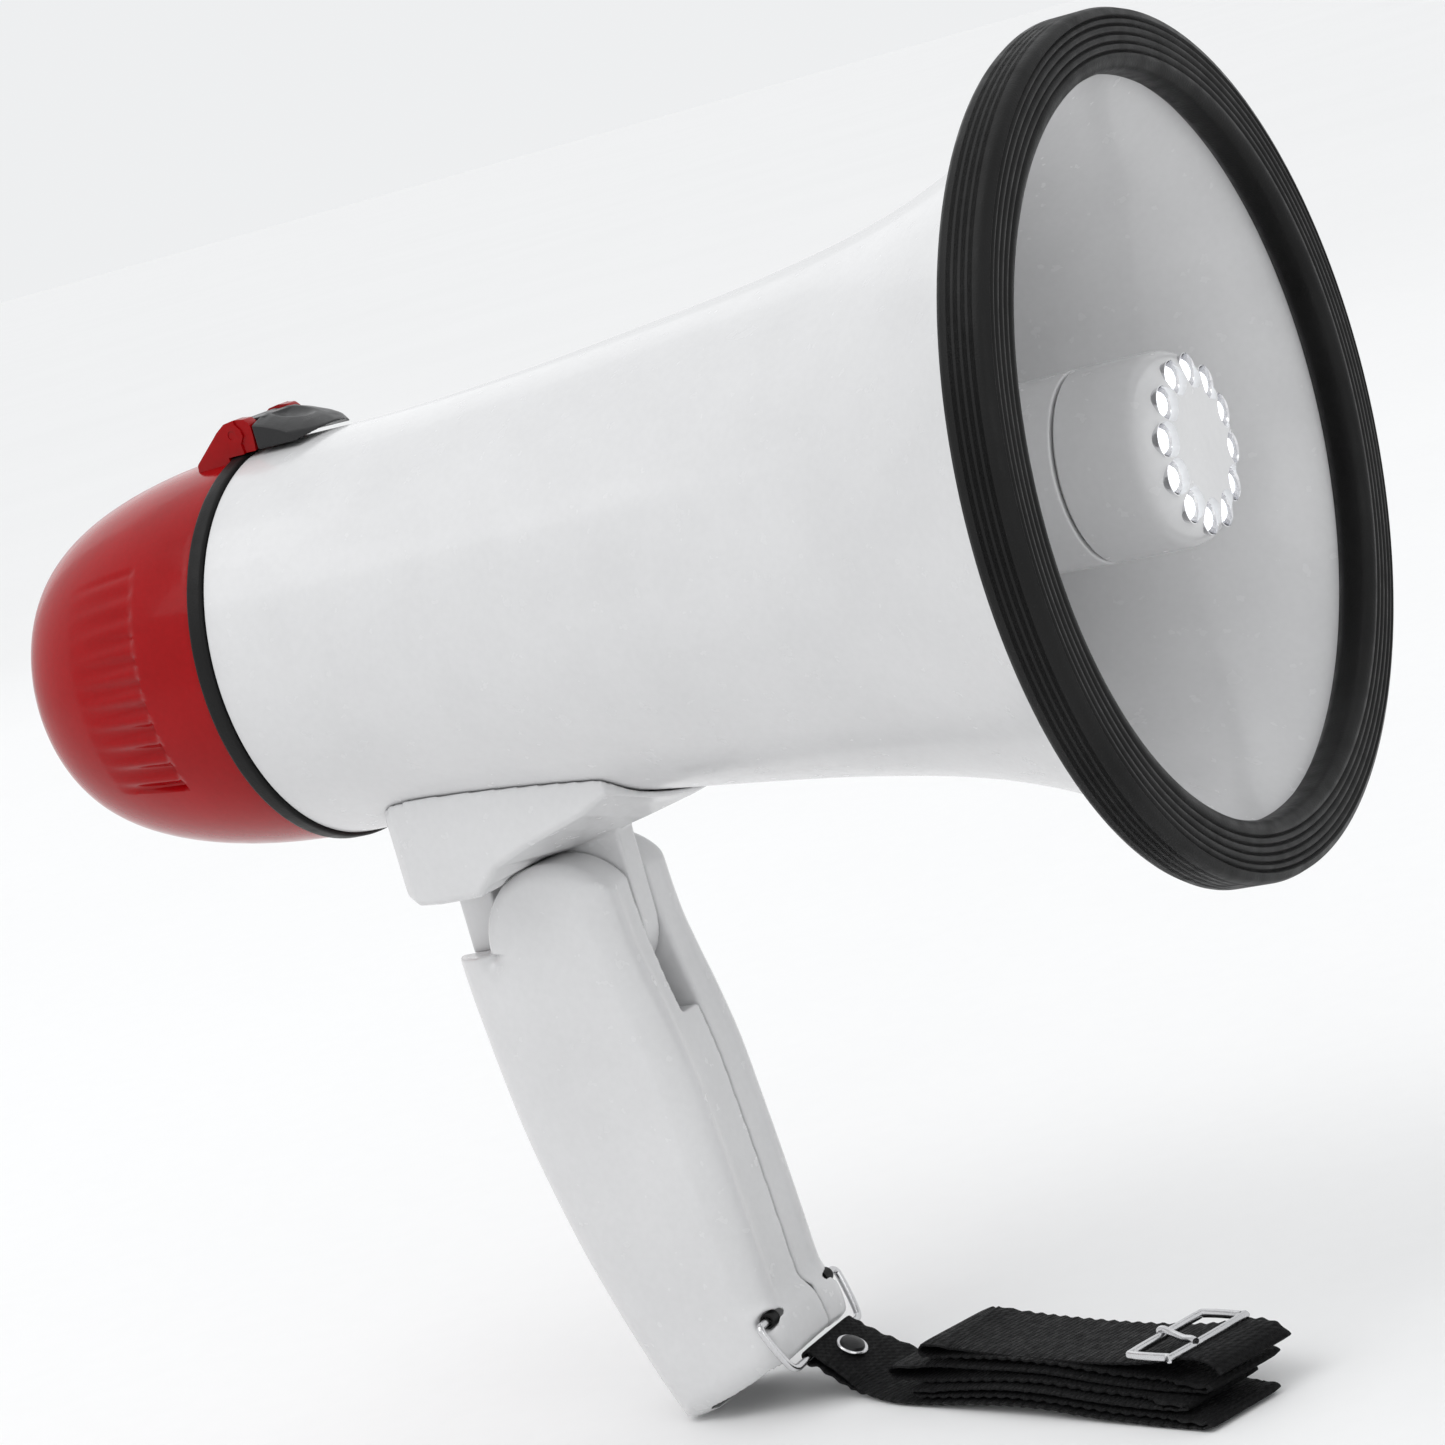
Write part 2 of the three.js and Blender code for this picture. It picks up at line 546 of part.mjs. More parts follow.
// The handle's side view: a round cheek about the pivot above a plain body.
function cheekShape() {
  const s = new THREE.Shape();
  s.moveTo(-200, HANDLE.shelfZ);
  s.lineTo(-174, HANDLE.shelfZ);
  s.absarc(PIVOT.x, PIVOT.z, PIVOT.cheekR, Math.PI, 0, true);
  s.lineTo(-138, -72);
  s.lineTo(-134, -80);
  s.lineTo(-120, -90);
  s.lineTo(-120, -155);
  s.lineTo(-129, -155.8);
  s.quadraticCurveTo(-135, -161.2, -143.2, -164.3);
  s.quadraticCurveTo(-150.5, -167.4, -157, -168.7);
  s.quadraticCurveTo(-163.2, -169.9, -165.8, -163);
  s.lineTo(-168.5, -157);
  s.lineTo(-200, -120);
  return s;
}

function handleHalf(side) {
  const clip = side < 0 ? block([-210, -40, -200], [-100, HANDLE.split - GAP, -40])
    : block([-210, HANDLE.split, -200], [-100, 40, -40]);
  const outer = common(handleBody(0), slab(cheekShape(), -HANDLE.half, HANDLE.half, HANDLE.edge));
  const slotHalf = TONGUE.half + 0.4;
  const slot = block([-200, -slotHalf, HANDLE.slotZ], [-120, slotHalf, -40]);
  const backRoom = block([-190, -7.6, -69.3], [TONGUE.stopX + 3.7, 7.6, -40]);
  const hollowCap = block([-200, -30, -180], [-110, 30, HANDLE.hollowTop]);
  const hollow = common(handleBody(HANDLE.wall), hollowCap);
  const bosses = SCREW.places.map(([x, z]) => rod('y', SCREW.bossR, 26, [x, 0, z]));
  const hollowed = cut(hollow, ...bosses);
  const pinHole = rod('y', PIVOT.pinR + 0.06, 22.6, [PIVOT.x, 0, PIVOT.z]);
  const loopHole = rod('y', LOOP.holeR, 60, [LOOP.x, 0, LOOP.z], 16);
  const half = common(cut(outer, slot, backRoom, hollowed, pinHole, loopHole), clip);
  const screwRooms = SCREW.places.map(([x, z]) => rod('y', SCREW.holeR, 16, [x, 4, z], 12));
  const headRooms = SCREW.places.map(([x, z]) => rod('y', SCREW.headRoomR, 6, [x, HANDLE.half - 1, z], 16));
  return cut(half, ...screwRooms, ...headRooms);
}

function buildHandle() {
  add('handle_near_shell', handleHalf(-1), 'shell');
  add('handle_far_shell', handleHalf(1), 'shell');
  add('pivot_pin', rod('y', PIVOT.pinR, 22, [PIVOT.x, 0, PIVOT.z]), 'steel');
  const { headR, headLength, headY, shankR, shankLength, shankY, arm, blade } = SCREW;
  const [low, high] = SCREW.recessY;
  SCREW.places.forEach(([x, z], k) => {
    const head = rod('y', headR, headLength, [x, headY, z], 16);
    const shank = rod('y', shankR, shankLength, [x, shankY, z], 12);
    const recess = join(block([x - arm, low, z - blade], [x + arm, high, z + blade]),
      block([x - blade, low, z - arm], [x + blade, high, z + arm]));
    add(`handle_screw_${k + 1}`, cut(join(head, shank), recess), 'steel');
  });
}

function buildLoop() {
  const { x, z, halfHole, halfBar, barX, barZ, wireR, sleeveR, sleeveY, sleeveLength } = LOOP;
  for (const [name, side] of [['grommet_near', -1], ['grommet_far', 1]]) {
    add(name, ring('y', sleeveR, wireR + GAP, sleeveLength, [x, side * sleeveY, z], 16), 'rubber');
  }
  const half = [[x, 10.5, z], [x, halfHole - 1.3, z], [x + 0.2, halfHole - 0.3, z - 0.5],
    [x + 0.7, halfHole, z - 1.6], [x + 3.2, halfBar + 2.2, barZ + 1.7],
    [barX - 0.15, halfBar + 1.2, barZ + 0.4], [barX, halfBar, barZ]];
  const route = [...half, ...half.map(([a, b, c]) => [a, -b, c]).reverse()];
  add('wire_loop', wireAlong(route.map((p) => new THREE.Vector3(...p)), wireR), 'steel');
}

// A round wire through corner points, with each joint's section on the corner's bisector.
function wireAlong(corners, r) {
  const rings = corners.map((corner, k) => {
    const before = corners[Math.max(k - 1, 0)];
    const after = corners[Math.min(k + 1, corners.length - 1)];
    const along = after.clone().sub(before).normalize();
    const across1 = new THREE.Vector3(1, 0, 0).cross(along).normalize();
    const across2 = along.clone().cross(across1);
    return Array.from({ length: 10 }, (_, i) => {
      const angle = (i * Math.PI) / 5;
      return corner.clone().addScaledVector(across1, r * Math.cos(angle))
        .addScaledVector(across2, r * Math.sin(angle)).toArray();
    });
  });
  return loft(rings);
}

// ---- Strap ----------------------------------------------------------------
function buildStrap() {
  const { width, lead, bundle, floorZ } = STRAP;
  const place = (g, { turn, at }) => g.rotateZ((turn * Math.PI) / 180).translate(at[0], at[1], floorZ);
  const leadSide = outline([[1.2, 1], [3, 5], [6.4, 4], [7.4, 3], [7.4, 0.2], [1.5, 0.2]]);
  add('strap_lead', place(slab(leadSide, -width / 2, width / 2), lead), 'web');
  const stackSide = outline([[0, 0.4], [1.2, 6.6], [8, 9.2], [24, 8.6], [46, 7.8], [84, 9],
    [91, 9.4], [94, 5], [94, 0.4]]);
  const half = width / 2 + bundle.spread;
  add('strap_bundle', place(slab(stackSide, -half, half), bundle), 'web');
  const { length, depth, bar, at } = BUCKLE;
  const frame = cut(block([-depth / 2, -length / 2, 0], [depth / 2, length / 2, bar]),
    block([-depth / 2 + bar, -length / 2 + bar, -1], [depth / 2 - bar, length / 2 - bar, 3]));
  add('buckle_frame', place(frame.translate(...at), bundle), 'steel');
  const tongue = rod('x', bar / 2, depth - 2 * bar - 2 * GAP, [at[0], at[1], at[2] + bar / 2], 12);
  add('buckle_tongue', place(tongue, bundle), 'steel');
}

buildHorn();
buildReflector();
buildLight();
buildDriver();
buildPower();
buildCap();
buildLatch();
buildSaddle();
buildHandle();
buildLoop();
buildStrap();

const [gx, gy, gz] = GRIP_CENTRE;
model.position.set(-gx, -gy, -gz);

export default model;
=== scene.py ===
import json
import math

import bmesh
import bpy
import numpy as np
from mathutils import Matrix, Vector


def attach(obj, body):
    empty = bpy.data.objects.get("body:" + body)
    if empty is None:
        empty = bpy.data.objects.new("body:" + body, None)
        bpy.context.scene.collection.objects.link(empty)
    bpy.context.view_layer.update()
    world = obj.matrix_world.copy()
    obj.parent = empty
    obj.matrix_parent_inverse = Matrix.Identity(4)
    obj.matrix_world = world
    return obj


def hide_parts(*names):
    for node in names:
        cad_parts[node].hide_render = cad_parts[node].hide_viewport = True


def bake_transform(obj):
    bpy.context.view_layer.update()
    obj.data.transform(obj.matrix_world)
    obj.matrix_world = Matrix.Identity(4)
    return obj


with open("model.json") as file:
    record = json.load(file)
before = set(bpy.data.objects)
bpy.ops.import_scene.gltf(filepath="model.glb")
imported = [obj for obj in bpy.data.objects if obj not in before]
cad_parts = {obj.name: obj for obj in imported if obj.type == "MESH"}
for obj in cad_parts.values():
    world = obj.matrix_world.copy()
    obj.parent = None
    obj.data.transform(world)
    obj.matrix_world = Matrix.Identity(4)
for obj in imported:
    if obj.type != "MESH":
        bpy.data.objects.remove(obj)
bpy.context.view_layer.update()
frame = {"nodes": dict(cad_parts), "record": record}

# Shapes are written in millimetres from the centre of the horn's mouth, +X out of the
# mouth and +Z up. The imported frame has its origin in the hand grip.
GRIP = Vector((-155.0, 0.0, -120.0))
PI = math.pi
PIVOT = (-156.5, 0, -68)
CHEEK_R = 16.2
LATCH_PIN = (-199.6, 0, 44.3)
LOOP_HOLE = (-134.7, 0, -150.2)
BAR = (-130.8, 1.2, -160.3)
RIVET = (-126.3, 1.2, -162.0)
CAP_FRONT = -202.3
CAP_LENGTH = 54
CAP_R = 40.3
CAP_FACE_R = 22


def metres(p):
    return (Vector(p) - GRIP) / 1000


# ---- Mesh helpers ---------------------------------------------------------
def make(name, verts, faces, smooth=35):
    mesh = bpy.data.meshes.new(name)
    mesh.from_pydata([metres(v) for v in verts], [], faces)
    obj = bpy.data.objects.new(name, mesh)
    bpy.context.scene.collection.objects.link(obj)
    bm = bmesh.new()
    bm.from_mesh(mesh)
    bmesh.ops.remove_doubles(bm, verts=bm.verts, dist=2e-6)
    bmesh.ops.recalc_face_normals(bm, faces=bm.faces)
    bm.to_mesh(mesh)
    bm.free()
    shade(obj, smooth)
    return obj


def shade(obj, angle):
    obj.data.shade_smooth()
    if angle < 180:
        obj.data.set_sharp_from_angle(angle=math.radians(angle))


def bake(obj):
    """Applies the modifiers on obj to its mesh."""
    graph = bpy.context.evaluated_depsgraph_get()
    mesh = bpy.data.meshes.new_from_object(obj.evaluated_get(graph))
    old = obj.data
    obj.modifiers.clear()
    obj.data = mesh
    bpy.data.meshes.remove(old)
    return obj


def lathe(name, profile, segs=192, shift=None, axis="x", at=(0, 0, 0), smooth=35):
    """A solid of revolution of (t, r) points, about X or Y, through the point at."""
    verts, rings = [], []
    for t, r in profile:
        if r < 1e-6:
            rings.append([len(verts)])
            verts.append((t, 0, 0))
            continue
        rings.append(list(range(len(verts), len(verts) + segs)))
        for k in range(segs):
            a = 2 * PI * k / segs
            tt, rr = shift(t, r, a) if shift else (t, r)
            verts.append((tt, rr * math.cos(a), rr * math.sin(a)))
    faces = []
    count = len(rings) if profile[0][1] > 1e-6 else len(rings) - 1
    for i in range(count):
        a, b = rings[i], rings[(i + 1) % len(rings)]
        if len(a) == 1 and len(b) == 1:
            continue
        for k in range(segs):
            n = (k + 1) % segs
            if len(a) == 1:
                faces.append((a[0], b[k], b[n]))
            elif len(b) == 1:
                faces.append((a[k], b[0], a[n]))
            else:
                faces.append((a[k], b[k], b[n], a[n]))
    if axis == "y":
        verts = [(v[1], v[0], v[2]) for v in verts]
    if axis == "z":
        verts = [(v[1], v[2], v[0]) for v in verts]
    verts = [(v[0] + at[0], v[1] + at[1], v[2] + at[2]) for v in verts]
    return make(name, verts, faces, smooth)


def fillet(points, radius, closed=True, steps=4, least=20):
    """Rounds the corners of a flat outline."""
    out = []
    n = len(points)
    for i, p in enumerate(points):
        if not closed and i in (0, n - 1):
            out.append(p)
            continue
        p = Vector(p)
        a, b = Vector(points[i - 1]) - p, Vector(points[(i + 1) % n]) - p
        turn = PI - a.angle(b)
        if turn < math.radians(least):
            out.append(tuple(p))
            continue
        reach = min(radius * math.tan(turn / 2), 0.45 * a.length, 0.45 * b.length)
        s, e = p + a.normalized() * reach, p + b.normalized() * reach
        for k in range(steps + 1):
            t = k / steps
            out.append(tuple(s * (1 - t) ** 2 + p * 2 * t * (1 - t) + e * t * t))
    return out


def spline(points, count):
    """Points along a uniform Catmull-Rom curve."""
    pts = [Vector(p) for p in points]
    out = []
    for k in range(count + 1):
        q = (len(pts) - 1) * k / count
        i = min(int(q), len(pts) - 2)
        w = q - i
        p0, p1, p2, p3 = pts[max(i - 1, 0)], pts[i], pts[i + 1], pts[min(i + 2, len(pts) - 1)]
        v0, v1 = (p2 - p0) / 2, (p3 - p1) / 2
        out.append(p1 * (2 * w**3 - 3 * w * w + 1) + p2 * (3 * w * w - 2 * w**3)
                   + v0 * (w**3 - 2 * w * w + w) + v1 * (w**3 - w * w))
    return out


def inset(points, distance):
    out = []
    for i, p in enumerate(points):
        a, b = points[max(i - 1, 0)], points[min(i + 1, len(points) - 1)]
        d = (Vector(b) - Vector(a)).normalized()
        out.append(Vector((p[0] + distance * d.y, p[1] - distance * d.x)))
    return out


def prism(outline, low, high, axis="y"):
    """An outline in X and Z run along Y, or in X and Y run along Z."""
    n = len(outline)
    if axis == "y":
        verts = [(x, low, z) for x, z in outline] + [(x, high, z) for x, z in outline]
    elif axis == "z":
        verts = [(x, y, low) for x, y in outline] + [(x, y, high) for x, y in outline]
    else:
        verts = [(low, y, z) for y, z in outline] + [(high, y, z) for y, z in outline]
    faces = [tuple(range(n)), tuple(range(2 * n - 1, n - 1, -1))]
    faces += [(i, (i + 1) % n, (i + 1) % n + n, i + n) for i in range(n)]
    return make("tool", verts, faces)


def box(low, high):
    x0, y0, z0 = low
    x1, y1, z1 = high
    return prism([(x0, z0), (x1, z0), (x1, z1), (x0, z1)], y0, y1)


def rod(axis, r, length, at, segs=48):
    h = length / 2
    return lathe("tool", [(-h, 0), (-h, r), (h, r), (h, 0)], segs, axis=axis, at=at)


def carve(base, *steps):
    """Cuts from, joins to or keeps what is common with base, one tool at a time."""
    for op, tool in steps:
        m = base.modifiers.new("carve", "BOOLEAN")
        m.operation = {"cut": "DIFFERENCE", "join": "UNION", "common": "INTERSECT"}[op]
        m.solver = "EXACT"
        m.object = tool
        bake(base)
        bpy.data.objects.remove(tool)
    return base


def soften(obj, voxel, rounds, keep=1.0):
    """Gives moulded edges: an even mesh of that voxel size in mm, then smoothing."""
    m = obj.modifiers.new("even", "REMESH")
    m.mode = "VOXEL"
    m.voxel_size = voxel / 1000
    m = obj.modifiers.new("smooth", "SMOOTH")
    m.factor = 0.5
    m.iterations = rounds
    if keep < 1:
        m = obj.modifiers.new("fewer", "DECIMATE")
        m.ratio = keep
    bake(obj)
    shade(obj, 180)
    return obj


def bevel(obj, width, segments=3, angle=32):
    m = obj.modifiers.new("bevel", "BEVEL")
    m.width = width / 1000
    m.segments = segments
    m.limit_method = "ANGLE"
    m.angle_limit = math.radians(angle)
    m.harden_normals = False
    return bake(obj)


def place(obj, name, body, material, slot, *nodes):
    obj.name = name
    obj.data.name = name
    obj.data.materials.clear()
    obj.data.materials.append(material)
    if body:
        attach(obj, body)
    if nodes:
        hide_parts(*nodes)
    return obj


# ---- Materials --------------------------------------------------------------
def shader(name):
    m = bpy.data.materials.new(name)
    m.use_nodes = True
    tree = m.node_tree
    tree.nodes.clear()
    out = tree.nodes.new("ShaderNodeOutputMaterial")
    bsdf = tree.nodes.new("ShaderNodeBsdfPrincipled")
    tree.links.new(bsdf.outputs[0], out.inputs[0])
    return m, tree, bsdf


def value(tree, node, out=0, **inputs):
    """A new node with its inputs set to numbers or linked to other sockets."""
    n = tree.nodes.new(node)
    for key, v in inputs.items():
        socket = n.inputs[int(key[1:])] if key[0] == "i" and key[1:].isdigit() else n.inputs[key]
        if isinstance(v, bpy.types.NodeSocket):
            tree.links.new(v, socket)
        else:
            socket.default_value = v
    return n.outputs[out]


def maths(tree, op, a, b=0.0):
    n = tree.nodes.new("ShaderNodeMath")
    n.operation = op
    for socket, v in zip(n.inputs, (a, b)):
        if isinstance(v, bpy.types.NodeSocket):
            tree.links.new(v, socket)
        else:
            socket.default_value = v
    return n.outputs[0]


def mottle(tree, where, scale, low, high, detail=3.0):
    """Noise mapped to a range of numbers."""
    noise = value(tree, "ShaderNodeTexNoise", 0, Vector=where, Scale=scale, Detail=detail)
    n = tree.nodes.new("ShaderNodeMapRange")
    tree.links.new(noise, n.inputs[0])
    for i, v in zip((1, 2, 3, 4), (0.3, 0.7, low, high)):
        n.inputs[i].default_value = v
    return n.outputs[0]


def two_tone(tree, factor, a, b):
    n = tree.nodes.new("ShaderNodeMix")
    n.data_type = "RGBA"
    tree.links.new(factor, n.inputs[0])
    n.inputs[6].default_value = (*a, 1)
    n.inputs[7].default_value = (*b, 1)
    return n.outputs[2]


def moulded(name, dark, light, rough, bump, grain, patch=45, coat=0.0, metal=0.0, **extra):
    """A moulding or plating: soft colour patches, uneven gloss and a fine surface grain."""
    m, tree, bsdf = shader(name)
    where = value(tree, "ShaderNodeTexCoord", 3)
    tone = mottle(tree, where, patch, 0.0, 1.0)
    speck = mottle(tree, where, grain * 1.7, 0.0, 1.0, 1.0)
    both = maths(tree, "ADD", maths(tree, "MULTIPLY", tone, 0.7), maths(tree, "MULTIPLY", speck, 0.3))
    tree.links.new(two_tone(tree, both, dark, light), bsdf.inputs["Base Color"])
    tree.links.new(mottle(tree, where, patch * 6, rough[0], rough[1]), bsdf.inputs["Roughness"])
    fine = value(tree, "ShaderNodeTexNoise", 0, Vector=where, Scale=grain, Detail=2.0)
    b = value(tree, "ShaderNodeBump", 0, Strength=1.0, Distance=bump, Height=fine)
    tree.links.new(b, bsdf.inputs["Normal"])
    bsdf.inputs["Metallic"].default_value = metal
    bsdf.inputs["Coat Weight"].default_value = coat
    bsdf.inputs["Coat Roughness"].default_value = 0.06
    for key, v in extra.items():
        bsdf.inputs[key.replace("_", " ")].default_value = v
    return m


def webbing_material():
    """Woven nylon: crosswise ribs and lengthwise yarns with painted shade in their hollows, and painted
    highlights in waves along both edges.
    """
    m, tree, bsdf = shader("black_webbing")
    uv = value(tree, "ShaderNodeUVMap", 0)
    split = tree.nodes.new("ShaderNodeSeparateXYZ")
    tree.links.new(uv, split.inputs[0])
    across, along = split.outputs[0], split.outputs[1]
    rib = maths(tree, "SINE", maths(tree, "MULTIPLY", along, 2 * PI / 0.0013))
    yarn = maths(tree, "SINE", maths(tree, "MULTIPLY", across, 2 * PI / 0.0017))
    cell = maths(tree, "MULTIPLY", rib, yarn)
    height = maths(tree, "ADD", maths(tree, "MULTIPLY", rib, 0.6), maths(tree, "MULTIPLY", cell, 0.5))
    where = value(tree, "ShaderNodeTexCoord", 3)
    fuzz = mottle(tree, where, 5000, -0.35, 0.35, 2.0)
    height = maths(tree, "ADD", height, fuzz)
    # Painted highlight: both edges are made paler at each crest of a wave, standing in for light catching the
    # wavy edges.
    edge = maths(tree, "ABSOLUTE", maths(tree, "SUBTRACT", across, 0.0095))
    edge = maths(tree, "GREATER_THAN", edge, 0.0089)
    wave = maths(tree, "SINE", maths(tree, "MULTIPLY", along, 2 * PI / 0.0034))
    painted_edge_highlight = maths(tree, "MULTIPLY", edge, maths(tree, "ADD", maths(tree, "MULTIPLY", wave, 0.5), 0.5))
    # The colour follows the weave's height as painted shade: darker in the hollows between ribs and yarns,
    # lighter on their tops.
    tone = maths(tree, "ADD", maths(tree, "MULTIPLY", height, 0.22), 0.4)
    tone = maths(tree, "ADD", tone, maths(tree, "MULTIPLY", painted_edge_highlight, 1.6))
    tree.links.new(two_tone(tree, tone, (0.0018, 0.0018, 0.002), (0.012, 0.012, 0.0125)),
                   bsdf.inputs["Base Color"])
    tree.links.new(mottle(tree, where, 700, 0.5, 0.75), bsdf.inputs["Roughness"])
    b = value(tree, "ShaderNodeBump", 0, Strength=0.8, Distance=0.00025, Height=height)
    tree.links.new(b, bsdf.inputs["Normal"])
    bsdf.inputs["Specular IOR Level"].default_value = 0.1
    return m


def lens_material():
    """A clear LED dome that glows, its strength mottled with noise."""
    m, tree, bsdf = shader("clear_lens")
    where = value(tree, "ShaderNodeTexCoord", 3)
    glow = mottle(tree, where, 900, 1.3, 2.6)
    tree.links.new(two_tone(tree, mottle(tree, where, 500, 0, 1), (0.9, 0.93, 1), (1, 1, 1)),
                   bsdf.inputs["Base Color"])
    bsdf.inputs["Emission Color"].default_value = (0.93, 0.97, 1, 1)
    tree.links.new(glow, bsdf.inputs["Emission Strength"])
    bsdf.inputs["Roughness"].default_value = 0.08
    return m


SHELL = moulded("white_shell", (0.62, 0.62, 0.625), (0.67, 0.67, 0.675), (0.2, 0.28), 0.00002, 420,
                coat=0.25)
RUBBER = moulded("black_rubber", (0.004, 0.004, 0.004), (0.011, 0.011, 0.011), (0.34, 0.5), 0.00006, 2600,
                 Specular_IOR_Level=0.16)
RED = moulded("red_plastic", (0.26, 0.001, 0.002), (0.33, 0.002, 0.004), (0.12, 0.2), 0.00002, 500,
              coat=0.05, Specular_IOR_Level=0.14)
BLACK = moulded("black_plastic", (0.005, 0.005, 0.0055), (0.014, 0.014, 0.015), (0.26, 0.42), 0.00004, 3200,
                Specular_IOR_Level=0.4)
STEEL = moulded("bright_steel", (0.52, 0.52, 0.53), (0.72, 0.72, 0.73), (0.14, 0.3), 0.00003, 2400, metal=1.0)
WEB = webbing_material()
BOARD = moulded("board_green", (0.015, 0.11, 0.035), (0.03, 0.18, 0.07), (0.3, 0.5), 0.00005, 1500, patch=150)
LENS = lens_material()
CELL = moulded("cell_wrap", (0.24, 0.12, 0.03), (0.42, 0.25, 0.08), (0.2, 0.35), 0.00002, 900, metal=0.6)
DARK = moulded("dark_metal", (0.03, 0.03, 0.032), (0.08, 0.08, 0.085), (0.4, 0.6), 0.00008, 1800, metal=0.5)
MIRROR = moulded("reflector_plating", (0.72, 0.72, 0.74), (0.9, 0.9, 0.91), (0.06, 0.14), 0.00001, 800,
                 metal=1.0)
BY_SLOT = {"white_shell": SHELL, "black_rubber": RUBBER, "red_plastic": RED, "black_plastic": BLACK,
           "bright_steel": STEEL, "black_webbing": WEB, "board_green": BOARD, "clear_lens": LENS,
           "cell_wrap": CELL, "dark_metal": DARK}

for part in frame["record"]["subparts"]:
    node = frame["nodes"][part["node"]]
    node.data.materials.clear()
    node.data.materials.append(BY_SLOT[part["material_slot"]])
    shade(node, 30)


# ---- Horn, rim and gasket -----------------------------------------------------
HORN_LINE = spline([(-198, 40.4), (-170, 40.4), (-140, 42), (-110, 44.7), (-80, 48), (-55, 52.2),
                    (-36, 57.6), (-20, 64.7), (-9, 72.6), (-3.5, 77.4)], 96)
WALL = 2.3


def horn_core(grow=0.3):
    """The filled outside of the horn, for cutting what sits against it."""
    line = inset(HORN_LINE, -grow)
    return lathe("tool", [(-199, 0), (-199, line[0].y)] + [tuple(p) for p in line] + [(-3, 0)], 192)


def grooved(points, centres, along, depth, half):
    """A straight run from points[0] to points[1] with rounded grooves in it."""
    (x0, r0), (x1, r1) = points
    out = [(x0, r0)]
    for c in centres:
        for k in range(-3, 4):
            s = c + half * k / 3
            sink = depth * math.cos(PI * k / 6) ** 2 if abs(k) < 3 else 0.0
            out.append((x0 - sink, s) if along == "r" else (s, r0 - sink))
    out.append((x1, r1))
    return out


def build_horn():
    inner = inset(HORN_LINE, WALL)
    front = HORN_LINE[-1]
    bulge = Vector((0.8, 0.7))
    lip = [tuple(front * (1 - t) + inner[-1] * t + bulge * math.sin(PI * t)) for t in (0.25, 0.5, 0.75)]
    profile = [tuple(p) for p in HORN_LINE] + lip + [tuple(p) for p in reversed(inner)]
    place(lathe("horn", profile, 256, smooth=50), "horn_moulding", "horn", SHELL, "white_shell", "horn_shell")
    face = grooved([(0, 70.2), (0, 78.2)], [71.6, 73.2, 74.8, 76.4, 77.8], "r", 0.55, 0.5)
    side = grooved([(-1.8, 80), (-8.6, 80)], [-2.9, -4.3, -5.7, -7.1], "x", 0.5, 0.45)
    outline = [(-6.9, 69.6), (-5.6, 68.6), (-2.0, 68.4), (-0.7, 68.9)] + face + [(-0.5, 79.5)] + side
    outline += [(-9.5, 79.5), (-10, 78.6), (-10, 73.4), (-9.2, 72.2)]
    place(lathe("rim", outline, 288, smooth=50), "rim_rubber", "horn", RUBBER, "black_rubber", "rim_bumper")
    ring = fillet([(-202, 38), (-202, 41.2), (-198.3, 41.2), (-198.3, 38)], 0.8)
    place(lathe("gasket", ring, 192), "gasket_ring", "horn", RUBBER, "black_rubber", "gasket")


# ---- Reflector and light ---------------------------------------------------------
def led_places():
    return [(13.4 * math.cos((k + 0.5) * PI / 6), 13.4 * math.sin((k + 0.5) * PI / 6)) for k in range(12)]


def build_light():
    joint, front, r = -22.0, -0.5, 18.1
    cup = fillet([(joint - 0.3, 14.1), (joint - 0.3, r), (-70, 16.7), (-78, 17.5), (-78, 15.9),
                  (-70, 14.9), (joint - 3, 16.3), (joint - 3, 14.1)], 0.5)
    place(lathe("cup", cup, 160, smooth=50), "reflector_cup", "horn", SHELL, "white_shell", "tone_reflector")
    outer = [(joint + 0.3, 14.5), (joint + 0.3, r - 0.4), (joint + 0.7, r)]
    inner = [(joint + 4, 14.5), (joint + 4.4, 16.3)]
    for k in range(13):
        a = k * PI / 24
        outer.append((front - 7 + 7 * math.sin(a), r - 7 * (1 - math.cos(a))))
        inner.append((front - 7 + 5.2 * math.sin(a), r - 1.8 - 5.2 * (1 - math.cos(a))))
    shape = outer + [(front - 0.2, 6), (front - 0.5, 0)]
    head = lathe("head", shape[::-1] + inner + [(front - 2.0, 0)], 160, smooth=50)
    for y, z in led_places():
        cone = [(-12, 0), (-12, 2.5), (-4.5, 2.6), (-1.6, 3.1), (2, 4.2), (2, 0)]
        carve(head, ("cut", lathe("tool", cone, 32, at=(0, y, z))))
    shade(head, 40)
    place(head, "light_housing", "horn", SHELL, "white_shell", "light_head")
    for k, (y, z) in enumerate(led_places()):
        dome = [(-8.6, 0), (-8.6, 2.3), (-4.4, 2.3)]
        dome += [(-4.4 + 2.3 * math.sin(a), 2.3 * math.cos(a)) for a in (0.3, 0.6, 0.9, 1.2)] + [(-2.1, 0)]
        place(lathe("lens", dome, 32, at=(0, y, z), smooth=60), f"led_lens_{k + 1}", "horn", LENS,
              "clear_lens", f"led_{k + 1}")
        sleeve = [(-8.7, 2.36), (-4.6, 2.42), (-2.0, 3.0), (-1.5, 3.2), (-1.6, 3.34), (-2.2, 3.12),
                  (-4.8, 2.54), (-8.7, 2.5)]
        place(lathe("cone", sleeve, 32, at=(0, y, z), smooth=60), f"led_reflector_{k + 1}", "horn", MIRROR,
              "bright_steel")


# ---- Rear cap -----------------------------------------------------------------
def step(v, low, high):
    t = min(max((v - low) / (high - low), 0), 1)
    return t * t * (3 - 2 * t)


